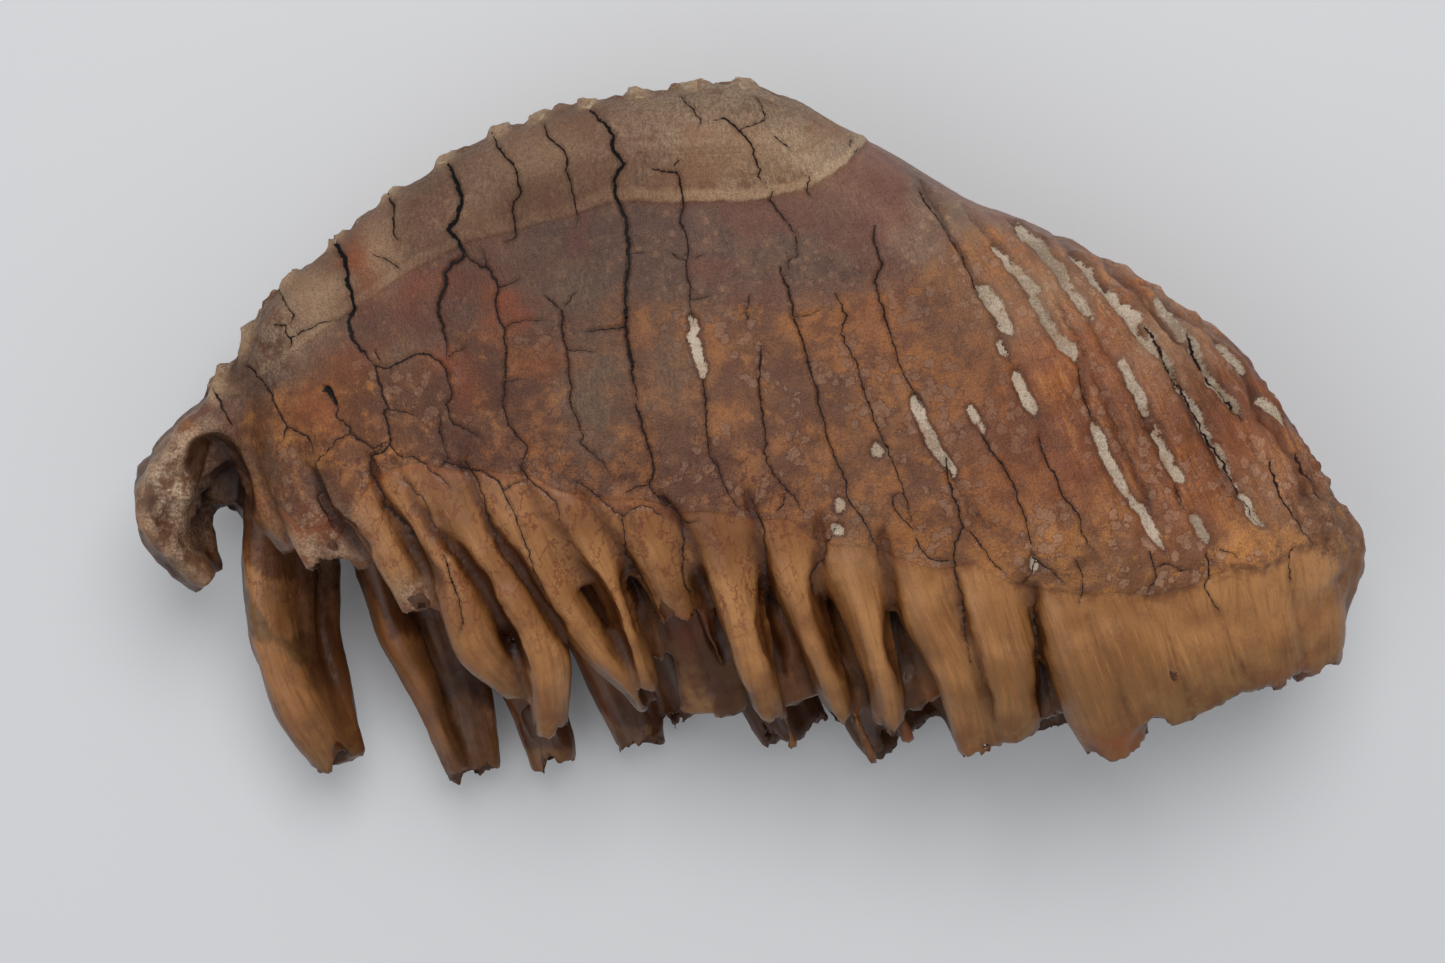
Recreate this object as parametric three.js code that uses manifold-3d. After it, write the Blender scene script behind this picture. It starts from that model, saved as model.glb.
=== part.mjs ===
// A whole woolly mammoth molar, lying on its side on a table, in millimetres.
// X runs from the front of the tooth to its back, Y from the root tips to the chewing edge, and +Z is up,
// from the side it lies on to the side that is seen. Z = 0 is the table.
// The tooth grew as one piece: a crown of upright plates, and two rows of hollow roots under it.
import * as THREE from "three";
import { mergeVertices } from "three/addons/utils/BufferGeometryUtils.js";
import Module from "manifold-3d";

// Driving dimensions
const MID_HEIGHT = 45; // height of the tooth's middle plane above the table
const EYE_HEIGHT = 750; // height of the camera that the outline was read through
const ORIGIN_X = 7.23; // centre of the tooth's box, from the middle of the picture
const ORIGIN_Y = 8.724;
const CHEWED_PLATES = 10; // plates whose tops are worn flat, counted from the front
const CHEWED_SQUARENESS = 4.5; // exponent of the crown's section where it is worn flat
const UNWORN_SQUARENESS = 2.6; // and where the plates are unworn
const ROOT_SIDE_SQUARENESS = 5; // and on the side that the roots grow from
const GROOVE_DEPTH = [0.9, 2.2]; // between two plates, at the front and at the back
const ENAMEL_HEIGHT = 1.3; // of the enamel ridges above the chewing face
const ROOT_WALL = 2.2; // thickness of a hollow root's wall
const CHEWED_EDGE_SHARE = 0.972; // the edge is seen where it is nearest to the camera, so it lies this much further in
const UNWORN_EDGE_SHARE = 0.992;

const CROWN_SIDES = 22;
const RINGS_PER_CHEWED_PLATE = 4; // two enamel ridges and the two dips between them
const RINGS_PER_UNWORN_PLATE = 3;
const ROOT_SIDES = 8;
const HOLLOW_SIDES = 6;
const TROUGH_SIDES = 10;

// The plates as lines from the chewing edge to the roots: top x and y, bottom x and y, half thickness.
const PLATES = [
  [-131, 23, -126, 8, 5],
  [-125, 34, -112, -3, 19],
  [-115, 50, -98, -8, 30],
  [-99, 62, -84, -12, 37],
  [-85, 74, -71, -15, 41],
  [-70, 83.5, -56, -18, 43.5],
  [-58, 90, -43, -20, 45],
  [-45, 95, -29, -22, 45.5],
  [-31, 98.5, -15, -24, 45.8],
  [-14, 101, 3, -26, 45.8],
  [3, 103, 20, -28, 45.8],
  [17, 98.5, 39, -29, 45.5],
  [29, 92, 60, -31, 45],
  [40, 86.5, 80, -33, 44],
  [52, 79, 98, -35, 42.5],
  [64, 72, 113, -36, 41],
  [76, 67.5, 126, -36, 39],
  [89, 62, 137, -34, 36.5],
  [102, 55, 146, -31, 33],
  [116, 46.5, 153, -27, 29],
  [130, 36.5, 158, -22, 24],
  [143, 23, 161, -17, 18],
  [153, 10, 162, -13, 11],
  [158, 2, 162, -9, 4],
];

// Roots: path points x, y, z, then half width in the picture plane, then half depth towards the table.
// hollow is the share of the length at which the hollow starts.
const SEEN_ROOTS = [
  { path: [[-115, 16, 62, 9, 10], [-110, -5, 67, 8, 8], [-104, -21, 66, 6, 6]], hollow: 0.7 },
  { path: [[-102, 18, 67, 8, 10], [-93, -4, 75, 6.5, 8], [-84, -19, 72, 6, 7], [-76.5, -34, 66, 5.5, 6]], hollow: 0.75 },
  {
    path: [[-88, 16, 71, 7.5, 10], [-77, -7, 77, 6.5, 8], [-69, -25, 73, 6, 7], [-62, -42, 66, 7, 7], [-51, -55, 59, 3.5, 5]],
    hollow: 0.85,
  },
  {
    path: [[-76, 13, 74.5, 7.5, 10], [-65, -9, 78, 6.5, 8], [-55, -27, 74, 5.5, 7], [-46.5, -44, 68, 6, 7], [-44, -66, 59, 4, 5]],
    hollow: 0.85,
  },
  { path: [[-62, 10, 76, 8, 10], [-51, -12, 79, 7, 8], [-41, -30, 73, 5.5, 7], [-30, -45, 66, 4.5, 6], [-18, -59, 58, 2.8, 4]] },
  { path: [[-46, 7, 79, 8, 10], [-36, -13, 79, 6.5, 8], [-28, -29, 74, 5, 7], [-18.5, -56, 62, 3.6, 5]], hollow: 0.85 },
  { path: [[-27, 4, 79, 8.5, 10], [-19, -15, 79, 7.5, 8], [-14, -28, 74, 6.5, 7], [-9, -41, 68, 5.5, 6]], hollow: 0.7 },
  { path: [[-10, 1, 79, 9, 10], [-1, -19, 79, 7.5, 8], [5, -38, 74, 6, 7], [12, -61, 62, 5.5, 5]], hollow: 0.7 },
  { path: [[10, 0, 79, 8.5, 10], [15, -21, 79, 7, 8], [21, -37, 75, 5.5, 7], [31, -60, 62, 5, 5]], hollow: 0.7 },
  { path: [[26, -2, 79, 9, 10], [32, -23, 79, 8, 8], [38, -40, 75, 6, 7], [43.5, -62, 62, 4.8, 5.5]], hollow: 0.7 },
  { path: [[42, -6, 79, 10, 10], [52, -31, 78, 8.5, 8], [61, -48, 71, 7.5, 7], [68, -71, 62, 7, 6]], hollow: 0.4 },
  { path: [[60, -9, 78, 10, 10], [69, -35, 78, 8.5, 8], [74, -52, 71, 7.5, 7], [76, -66, 64, 5.5, 6]], hollow: 0.4 },
  { path: [[82, -14, 77, 10, 10], [92, -41, 76, 10, 8], [98, -57, 69, 9.5, 7], [103, -70, 62, 8, 6]], hollow: 0.35 },
  { path: [[100, -16, 75, 11, 9], [110, -41, 74, 10, 8], [117, -62, 64, 8, 6]], hollow: 0.35 },
  { path: [[116, -17, 72, 11, 9], [125, -41, 70, 10, 8], [130, -56, 63, 8, 6]], hollow: 0.35 },
  { path: [[131, -16, 68, 10, 9], [139, -38, 65, 9, 8], [142, -52, 59, 7, 6]], hollow: 0.35 },
  { path: [[145, -13, 63, 9, 9], [151, -34, 59, 9, 8], [152, -50, 54, 7, 6]], hollow: 0.35 },
  { path: [[156, -10, 50, 7, 11], [159, -30, 50, 7, 12], [158, -45, 47, 6, 9]], hollow: 0.35 },
];

const FAR_ROOTS = [
  { path: [[-117, 4, 36, 8, 9], [-118, -22, 36, 6.5, 7], [-115.5, -42, 34, 6.5, 6.5], [-109, -58, 31, 6.5, 6], [-99, -75, 28, 5, 5]], hollow: 0.85 },
  { path: [[-108, 0, 24, 11, 8], [-108, -25, 23, 9.5, 5], [-106, -45, 22, 9, 4.5], [-96, -73, 24, 5, 3.5]] },
  { path: [[-93, -8, 28, 7, 9], [-84, -38, 28, 5, 6], [-76, -56, 26, 4.5, 5], [-68, -76, 22, 3.5, 4]] },
  { path: [[-84, -5, 20, 14, 8], [-76, -35, 19, 11, 5.5], [-69, -57, 17, 10.5, 5], [-63, -79, 17, 7, 4.5]], hollow: 0.8 },
  { path: [[-62, -8, 19, 12, 9], [-54, -40, 18, 9, 7], [-47, -60, 17, 8, 6], [-43, -77, 17, 6, 5]], hollow: 0.7 },
  { path: [[-40, -10, 17, 12, 9], [-31, -42, 17, 9, 7], [-24, -58, 17, 8, 6], [-20, -71, 17, 6, 5.5]], hollow: 0.7 },
  { path: [[-20, -12, 17, 12, 9], [-11, -42, 17, 11, 7], [-3, -62, 18, 10, 6]], hollow: 0.5 },
  { path: [[2, -14, 17, 12, 9], [10, -45, 17, 11, 7], [20, -67, 18, 9, 6]], hollow: 0.5 },
  { path: [[25, -16, 17, 13, 9], [37, -48, 17, 12, 7], [49, -69, 18, 11, 6]], hollow: 0.5 },
  { path: [[50, -18, 17, 13, 9], [63, -50, 17, 11, 7], [72, -67, 18, 10, 6]], hollow: 0.5 },
  { path: [[73, -20, 18, 13, 9], [82, -50, 18, 11, 7], [88, -67, 19, 9, 6]], hollow: 0.5 },
  { path: [[94, -20, 19, 13, 9], [102, -50, 20, 11, 7], [107, -65, 21, 9, 6]], hollow: 0.5 },
  { path: [[113, -20, 22, 12, 9], [121, -46, 23, 10, 7], [126, -58, 24, 9, 6]], hollow: 0.5 },
  { path: [[130, -18, 26, 11, 9], [138, -41, 28, 9, 7], [142, -52, 30, 8, 6]], hollow: 0.5 },
  { path: [[146, -14, 32, 9, 9], [152, -34, 35, 8, 8], [152, -48, 38, 7, 7]], hollow: 0.5 },
];

// The front root stands alone: a thick outer edge, and a thinner sheet behind it. It bends, so it has more rings.
const FRONT_ROOT = [
  {
    path: [[-114, 26, 46, 10, 14], [-137, 7, 49, 7.5, 16], [-145, -6, 50, 6.5, 12], [-141, -18, 46, 6, 9], [-132, -26, 42, 4, 6]],
    ringsPerSpan: 2,
  },
  { path: [[-119, 16, 38, 9, 10], [-134, 0, 31, 6.5, 6], [-136.5, -13, 33, 5.5, 5], [-133, -24, 37, 4.5, 5]] },
];

// The hollow under the crown, between the two rows of roots.
const PULP_TROUGH = [
  [-118, -10, 46, 6, 12],
  [-92, -16, 46, 11, 17],
  [-40, -24, 46, 14, 20],
  [10, -30, 46, 15, 21],
  [70, -36, 46, 15, 21],
  [120, -38, 46, 14, 17],
  [150, -32, 46, 10, 8],
];

const wasm = await Module();
wasm.setup();

// A point that is seen at x, y of the middle plane and lies at height z.
function place([x, y, z]) {
  const share = (EYE_HEIGHT - z) / (EYE_HEIGHT - MID_HEIGHT);
  return new THREE.Vector3(x * share - ORIGIN_X, y * share - ORIGIN_Y, z);
}

function solidOf(geometry) {
  geometry.deleteAttribute("normal");
  geometry.deleteAttribute("uv");
  const merged = mergeVertices(geometry, 1e-4);
  const mesh = new wasm.Mesh({
    numProp: 3,
    vertProperties: merged.attributes.position.array,
    triVerts: new Uint32Array(merged.index.array),
  });
  return new wasm.Manifold(mesh);
}

// A closed cylinder whose points are moved: along runs from 0 to 1 down its length, across and deep lie on its circle.
function shapedCylinder(sides, rings, pointAt) {
  const geometry = new THREE.CylinderGeometry(1, 1, 1, sides, rings);
  const position = geometry.attributes.position;
  for (let i = 0; i < position.count; i++) {
    const across = position.getX(i);
    const deep = position.getZ(i);
    const along = 0.5 - position.getY(i);
    const point = pointAt(along, across, deep);
    position.setXYZ(i, point.x, point.y, point.z);
  }
  return geometry;
}

// A rod along a path, as thick as its points say, or thinner, between two shares of the path's length.
function sweep(path, { sides = ROOT_SIDES, ringsPerSpan = 1, thinner = 0, from = 0, to = 1 } = {}) {
  const line = new THREE.CatmullRomCurve3(path.map(place));
  const sizes = new THREE.CatmullRomCurve3(path.map((p) => new THREE.Vector3(p[3], p[4], 0)));
  const rings = Math.max(1, Math.round((path.length - 1) * ringsPerSpan * (to - from)));
  return solidOf(
    shapedCylinder(sides, rings, (along, across, deep) => {
      const t = THREE.MathUtils.lerp(from, to, along);
      const inside = Math.min(t, 1);
      const tangent = line.getTangent(inside);
      const side = new THREE.Vector3().crossVectors(tangent, new THREE.Vector3(0, 0, 1)).normalize();
      const back = new THREE.Vector3().crossVectors(side, tangent);
      const size = sizes.getPoint(inside);
      const beyond = (t - inside) * line.getLength();
      return line
        .getPoint(inside)
        .addScaledVector(tangent, beyond)
        .addScaledVector(side, -across * Math.max(0.8, size.x - thinner))
        .addScaledVector(back, deep * Math.max(0.8, size.y - thinner));
    }),
  );
}

// Which plate a ring of the crown lies on, counted from the front, with its share of that plate.
function plateOf(ring) {
  const chewedRings = CHEWED_PLATES * RINGS_PER_CHEWED_PLATE;
  if (ring < chewedRings) return ring / RINGS_PER_CHEWED_PLATE;
  return CHEWED_PLATES + (ring - chewedRings) / RINGS_PER_UNWORN_PLATE;
}

// The crown is a stack of sections, three or four for each plate, turned as the plates fan out.
function crown() {
  const { lerp, smoothstep } = THREE.MathUtils;
  const count = PLATES.length - 1;
  const rings = CHEWED_PLATES * RINGS_PER_CHEWED_PLATE + (count - CHEWED_PLATES) * RINGS_PER_UNWORN_PLATE;
  const tops = new THREE.CatmullRomCurve3(PLATES.map((p) => new THREE.Vector3(p[0], p[1], p[4])));
  const bottoms = new THREE.CatmullRomCurve3(PLATES.map((p) => new THREE.Vector3(p[2], p[3], 0)));
  const geometry = shapedCylinder(CROWN_SIDES, rings, (along, across, deep) => {
    const plate = plateOf(Math.round(along * rings));
    const top = tops.getPoint(plate / count);
    const bottom = bottoms.getPoint(plate / count);
    const half = top.z;
    const worn = 1 - smoothstep(plate, CHEWED_PLATES, CHEWED_PLATES * 1.35);
    top.multiplyScalar(lerp(UNWORN_EDGE_SHARE, CHEWED_EDGE_SHARE, worn));

    const power = across > 0 ? lerp(UNWORN_SQUARENESS, CHEWED_SQUARENESS, worn) : ROOT_SIDE_SQUARENESS;
    const turn = Math.atan2(deep, across);
    const c = Math.abs(Math.cos(turn));
    const s = Math.abs(Math.sin(turn));
    const reach = Math.hypot(across, deep) > 0.5 ? (c ** power + s ** power) ** (-1 / power) : 0;

    const inPlate = plate % 1;
    const groove = Math.cos(inPlate * 2 * Math.PI) * 0.5 + 0.5;
    const depth = lerp(...GROOVE_DEPTH, smoothstep(plate, count * 0.5, count * 0.8)) * Math.min(1, half / 20);
    const ridge = across > 0.75 ? -Math.cos(inPlate * 4 * Math.PI) * ENAMEL_HEIGHT * worn * reach : 0;

    const middle = new THREE.Vector2((top.x + bottom.x) / 2, (top.y + bottom.y) / 2);
    const rise = new THREE.Vector2((top.x - bottom.x) / 2, (top.y - bottom.y) / 2);
    const stretch = reach * Math.cos(turn) + ridge / rise.length();
    const thick = reach * Math.sin(turn) * (half - depth * groove);
    return place([middle.x + rise.x * stretch, middle.y + rise.y * stretch, MID_HEIGHT]).setZ(MID_HEIGHT + thick);
  });
  return solidOf(geometry);
}

// The part of a solid above the table.
function standOnTable(solid) {
  const block = new THREE.BoxGeometry(600, 600, 100).translate(0, 0, -50);
  return solid.subtract(solidOf(block));
}

function molar() {
  const roots = [...FRONT_ROOT, ...SEEN_ROOTS, ...FAR_ROOTS];
  let solid = crown().subtract(sweep(PULP_TROUGH, { sides: TROUGH_SIDES }));
  for (const { path, ringsPerSpan } of roots) solid = solid.add(sweep(path, { ringsPerSpan }));
  for (const { path, hollow } of roots.filter((root) => root.hollow)) {
    solid = solid.subtract(sweep(path, { sides: HOLLOW_SIDES, thinner: ROOT_WALL, from: hollow, to: 1.03 }));
  }
  return standOnTable(solid);
}

function geometryOf(solid) {
  const { vertProperties, triVerts } = solid.getMesh();
  return new THREE.BufferGeometry()
    .setAttribute("position", new THREE.BufferAttribute(vertProperties, 3))
    .setIndex(new THREE.BufferAttribute(triVerts, 1));
}

const bone = new THREE.MeshStandardMaterial({ color: 0x9a6436, roughness: 0.6, metalness: 0 });
const tooth = new THREE.Mesh(geometryOf(molar()), bone);
tooth.name = "molar";
const object = new THREE.Group().add(tooth);

export default object;
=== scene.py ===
# %% [markdown]
# # A whole woolly mammoth molar
#
# The real thing is one tooth, as long as a forearm, that lies on its side. It grew as a stack of upright
# plates glued together with cement, and two rows of long hollow roots hang from it. Age has cracked it.
#
# The scene is built round a fixed frame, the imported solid. Every size below is in millimetres in that
# frame: X runs from the front of the tooth to its back, Y from the root tips to the chewing edge, and Z is
# up.

# %% Load the fixed frame
import math
import time

import bpy
import numpy as np
import openvdb
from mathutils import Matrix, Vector


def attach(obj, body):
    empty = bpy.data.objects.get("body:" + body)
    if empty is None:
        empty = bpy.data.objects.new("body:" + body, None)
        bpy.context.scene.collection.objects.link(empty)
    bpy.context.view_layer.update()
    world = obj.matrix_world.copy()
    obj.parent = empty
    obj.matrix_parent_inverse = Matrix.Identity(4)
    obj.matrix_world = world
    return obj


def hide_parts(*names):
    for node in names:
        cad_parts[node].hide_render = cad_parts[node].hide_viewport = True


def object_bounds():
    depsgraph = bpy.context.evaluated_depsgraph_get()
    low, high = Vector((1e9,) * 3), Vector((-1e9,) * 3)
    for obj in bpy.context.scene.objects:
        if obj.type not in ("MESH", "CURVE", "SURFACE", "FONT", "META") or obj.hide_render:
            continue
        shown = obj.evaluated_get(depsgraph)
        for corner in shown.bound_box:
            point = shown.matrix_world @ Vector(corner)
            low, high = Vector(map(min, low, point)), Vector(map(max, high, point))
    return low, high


started = time.time()
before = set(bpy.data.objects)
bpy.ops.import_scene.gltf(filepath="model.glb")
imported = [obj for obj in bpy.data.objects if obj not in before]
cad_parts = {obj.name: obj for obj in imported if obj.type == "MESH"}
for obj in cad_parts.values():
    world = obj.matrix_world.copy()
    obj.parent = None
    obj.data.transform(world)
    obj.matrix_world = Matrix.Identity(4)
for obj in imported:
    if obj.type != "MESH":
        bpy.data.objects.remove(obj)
MM = 0.001
cad_box = [list(corner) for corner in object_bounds()]
BOX_LOW, BOX_HIGH = (np.array(corner) / MM for corner in cad_box)
print("the frame's box, mm:", BOX_LOW.round(1), BOX_HIGH.round(1))

# %% [markdown]
# ## Where things are
#
# Places were read from straight above, through one camera. A point high on the tooth is nearer to that
# camera and looks further out than one on the table. So each place is read as if it lay on the tooth's
# middle plane, and `place` moves it to its own height. `seen_from_above` does the reverse. On the hidden
# side there is nothing to read, so there the middle plane's own places are used.

# %% Places read from above
EYE_HEIGHT = 750.0
MID_HEIGHT = 45.0
ORIGIN = np.array([7.23, 8.724])  # the frame's zero, measured from the point under the camera


def place(rows):
    """Rows that start with x and y as seen on the middle plane, and z, become rows in the frame."""
    rows = np.array(rows, float)
    share = (EYE_HEIGHT - rows[:, 2]) / (EYE_HEIGHT - MID_HEIGHT)
    rows[:, :2] = rows[:, :2] * share[:, None] - ORIGIN
    return rows


def seen_from_above(points):
    height = np.maximum(points[:, 2], MID_HEIGHT)
    share = (EYE_HEIGHT - MID_HEIGHT) / (EYE_HEIGHT - height)
    return (points[:, :2] + ORIGIN) * share[:, None]


def smooth_rows(rows, steps):
    """A smooth curve through rows of numbers, with this many samples from each row to the next."""
    rows = np.asarray(rows, float)
    rim = np.vstack([2 * rows[0] - rows[1], rows, 2 * rows[-1] - rows[-2]])
    t = np.linspace(0, 1, steps, endpoint=False)[:, None]
    spans = [
        b + ((c - a) * t + (2 * a - 5 * b + 4 * c - d) * t**2 + (3 * b - a - 3 * c + d) * t**3) / 2
        for a, b, c, d in zip(rim, rim[1:], rim[2:], rim[3:])
    ]
    return np.vstack([*spans, rows[-1:]])


def ramp(x, low, high):
    """0 below low, 1 above high, and smooth between them."""
    t = np.clip((x - low) / (high - low), 0, 1)
    return t * t * (3 - 2 * t)


# %% [markdown]
# ## The crown and the roots as lists of places
#
# The crown's plates fan out, so each is a line from the chewing edge to the roots, with a thickness. The
# first ten were chewed on, and wore into boxier ends than the ones behind them. These are the same places
# that the solid in the frame was made from.

# %% The plates
PLATES = [  # top x and y, bottom x and y, half thickness
    (-131, 23, -126, 8, 5), (-125, 34, -112, -3, 19), (-115, 50, -98, -8, 30), (-99, 62, -84, -12, 37),
    (-85, 74, -71, -15, 41), (-70, 83.5, -56, -18, 43.5), (-58, 90, -43, -20, 45), (-45, 95, -29, -22, 45.5),
    (-31, 98.5, -15, -24, 45.8), (-14, 101, 3, -26, 45.8), (3, 103, 20, -28, 45.8), (17, 98.5, 39, -29, 45.5),
    (29, 92, 60, -31, 45), (40, 86.5, 80, -33, 44), (52, 79, 98, -35, 42.5), (64, 72, 113, -36, 41),
    (76, 67.5, 126, -36, 39), (89, 62, 137, -34, 36.5), (102, 55, 146, -31, 33), (116, 46.5, 153, -27, 29),
    (130, 36.5, 157, -22, 24), (142, 23, 159, -17, 18), (151, 10, 159.5, -13, 11), (155, 2, 159.5, -9, 4),
]
CHEWED_PLATES = 10
UNWORN_FROM = 13.5  # from this plate on nothing is worn
CHEWED_SQUARENESS, UNWORN_SQUARENESS, ROOT_SIDE_SQUARENESS = 4.5, 2.6, 5.0
CHEWED_EDGE_SHARE, UNWORN_EDGE_SHARE = 0.972, 0.992
print(len(PLATES), "lines of the fan of plates")

# %% [markdown]
# A root is a row of points: x and y as seen, z, half width and half depth. After the points comes the share
# of its length where its hollow starts. The webs are thin walls that still join neighbouring roots, and the
# scoop is the hollow side of the hooked root at the front. Both are too thin for the solid, so they are
# only here.

# %% The roots and the webs
SOLID = 2  # a share past the end, for a root without a hollow
SEEN_ROOTS = [
    ([(-112, 16, 60, 9, 10), (-106, -4, 66, 8.5, 8), (-99, -22, 65, 7.5, 6)], 0.72),
    ([(-102, 18, 65, 8, 10), (-93, -4, 74, 6.5, 8), (-84, -19, 72, 5.5, 7), (-75.5, -34, 67, 6.2, 6)], 0.78),
    ([(-88, 16, 70, 7.5, 10), (-77, -7, 76, 6.5, 8), (-69, -25, 73, 6, 7), (-62, -42, 66, 7, 7),
      (-50.5, -55, 59, 3.5, 5)], 0.93),
    ([(-76, 13, 73, 7.5, 10), (-65, -9, 77, 6.5, 8), (-55, -27, 74, 5.5, 7), (-46.5, -44, 68, 6, 7),
      (-44, -66, 59, 4, 5)], 0.84),
    ([(-62, 10, 74, 8, 10), (-51, -12, 78, 6.5, 8), (-41, -30, 73, 5, 7), (-30, -45, 66, 4.4, 6),
      (-18, -59, 58, 2.8, 4)], SOLID),
    ([(-46, 7, 76, 8, 10), (-36, -13, 78, 6, 8), (-27.5, -29, 74, 4.2, 7), (-18.5, -56, 62, 3.2, 4.5)], 0.93),
    ([(-27, 4, 76, 8.5, 10), (-19, -15, 78, 7, 8), (-14, -27, 75, 6, 7), (-10, -36, 71, 5.5, 6)], 0.7),
    ([(-7, -22, 73, 3, 4), (-4.5, -36, 71, 2.6, 2.4), (-0.5, -50, 64, 1.6, 1.5)], SOLID),
    ([(-10, 1, 77, 9, 10), (0, -19, 79, 6.6, 8), (6, -38, 75, 5.4, 7), (10, -53, 68, 4.4, 5.2),
      (13.5, -62, 62, 3.0, 3.5)], 0.9),
    ([(14, -57, 64, 1.8, 1.6), (18.5, -70, 59, 1.2, 1.2)], SOLID),
    ([(10, 0, 77, 8.5, 10), (17, -21, 79, 6, 8), (23.5, -38, 75, 4.6, 7), (28.5, -53, 67, 4.2, 5.5),
      (32.5, -63, 62, 2.4, 3.5)], 0.9),
    ([(33, -60, 62, 2, 1.8), (39, -73, 57, 1.2, 1.2)], SOLID),
    ([(26, -2, 77, 9, 10), (33.5, -23, 79, 7, 8), (39, -40, 75, 5, 7), (42, -54, 68, 4.4, 5.5),
      (43.5, -64, 62, 3.4, 4)], 0.88),
    ([(44.5, -60, 63, 1.9, 1.6), (48.5, -68, 60, 1.1, 1.1)], SOLID),
    ([(42, -6, 77, 10, 10), (52.5, -31, 77, 8, 8), (61, -48, 71, 6.5, 7), (67.5, -71, 62, 6, 5.5)], 0.5),
    ([(60, -9, 76, 10, 10), (69, -35, 77, 8.5, 8), (74, -52, 71, 7.5, 7), (76, -66, 64, 5.5, 6)], 0.45),
    ([(82, -14, 75, 10, 10), (92, -41, 75, 10, 8), (98, -57, 69, 9.5, 7), (103, -70, 62, 8, 6)], 0.4),
    ([(100, -16, 73, 11, 9), (110, -41, 73, 10, 8), (117, -62, 64, 8, 6)], 0.4),
    ([(116, -17, 70, 11, 9), (125, -41, 69, 10, 8), (130, -56, 63, 8, 6)], 0.4),
    ([(131, -16, 66, 10, 9), (139, -38, 65, 9, 8), (142, -52, 59, 7, 6)], 0.4),
    ([(145, -13, 61, 9, 9), (151, -34, 59, 9, 8), (152, -50, 54, 7, 6)], 0.4),
    ([(154, -10, 50, 7, 11), (156.5, -25, 50, 6.5, 11), (151, -41, 47, 5, 8)], 0.4),
]
FAR_ROOTS = [
    ([(-117, 4, 36, 8, 9), (-118, -22, 36, 6.5, 7), (-115.5, -42, 34, 6.5, 6.5), (-109, -58, 31, 6.5, 6),
      (-99, -75, 28, 5, 5)], 0.88),
    ([(-108, 0, 24, 11, 8), (-108, -25, 23, 9.5, 5), (-106, -45, 22, 9, 4.5), (-96, -73, 24, 5, 3.5)], SOLID),
    ([(-93, -8, 28, 7, 9), (-84, -38, 28, 5, 6), (-76, -56, 26, 4.5, 5), (-68, -76, 22, 3.5, 4)], SOLID),
    ([(-84, -5, 20, 14, 8), (-76, -35, 19, 11, 5.5), (-69, -57, 17, 10.5, 5), (-63, -79, 17, 7, 4.5)], 0.8),
    ([(-62, -8, 19, 12, 9), (-54, -40, 18, 9, 7), (-47, -60, 17, 8, 6), (-43, -77, 17, 6, 5)], 0.7),
    ([(-40, -10, 17, 12, 9), (-31, -42, 17, 9, 7), (-24, -58, 17, 8, 6), (-20, -71, 17, 6, 5.5)], 0.7),
    ([(-20, -12, 17, 12, 9), (-11, -42, 17, 11, 7), (-3, -62, 18, 10, 6)], 0.5),
    ([(2, -14, 17, 12, 9), (10, -45, 17, 11, 7), (20, -67, 18, 9, 6)], 0.5),
    ([(25, -16, 17, 13, 9), (37, -48, 17, 12, 7), (49, -69, 18, 11, 6)], 0.5),
    ([(50, -18, 17, 13, 9), (63, -50, 17, 11, 7), (72, -67, 18, 10, 6)], 0.5),
    ([(73, -20, 18, 13, 9), (82, -50, 18, 11, 7), (88, -67, 19, 9, 6)], 0.5),
    ([(94, -20, 19, 13, 9), (102, -50, 20, 11, 7), (107, -65, 21, 9, 6)], 0.5),
    ([(113, -20, 22, 12, 9), (121, -46, 23, 10, 7), (126, -58, 24, 9, 6)], 0.5),
    ([(130, -18, 26, 11, 9), (138, -41, 28, 9, 7), (142, -52, 30, 8, 6)], 0.5),
    ([(145, -14, 32, 9, 9), (151, -32, 35, 8, 8), (149, -44, 38, 6, 7)], 0.5),
]
FRONT_ROOT = [
    ([(-114, 26, 46, 10, 14), (-137, 7, 49, 7.5, 16), (-145, -6, 50, 6.5, 12), (-141, -18, 46, 6, 9),
      (-132, -26, 42, 4, 6)], SOLID),
    ([(-119, 16, 38, 9, 10), (-134, 0, 31, 6.5, 6), (-136.5, -13, 33, 5.5, 5),
      (-133, -24, 37, 4.5, 5)], SOLID),
]
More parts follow.
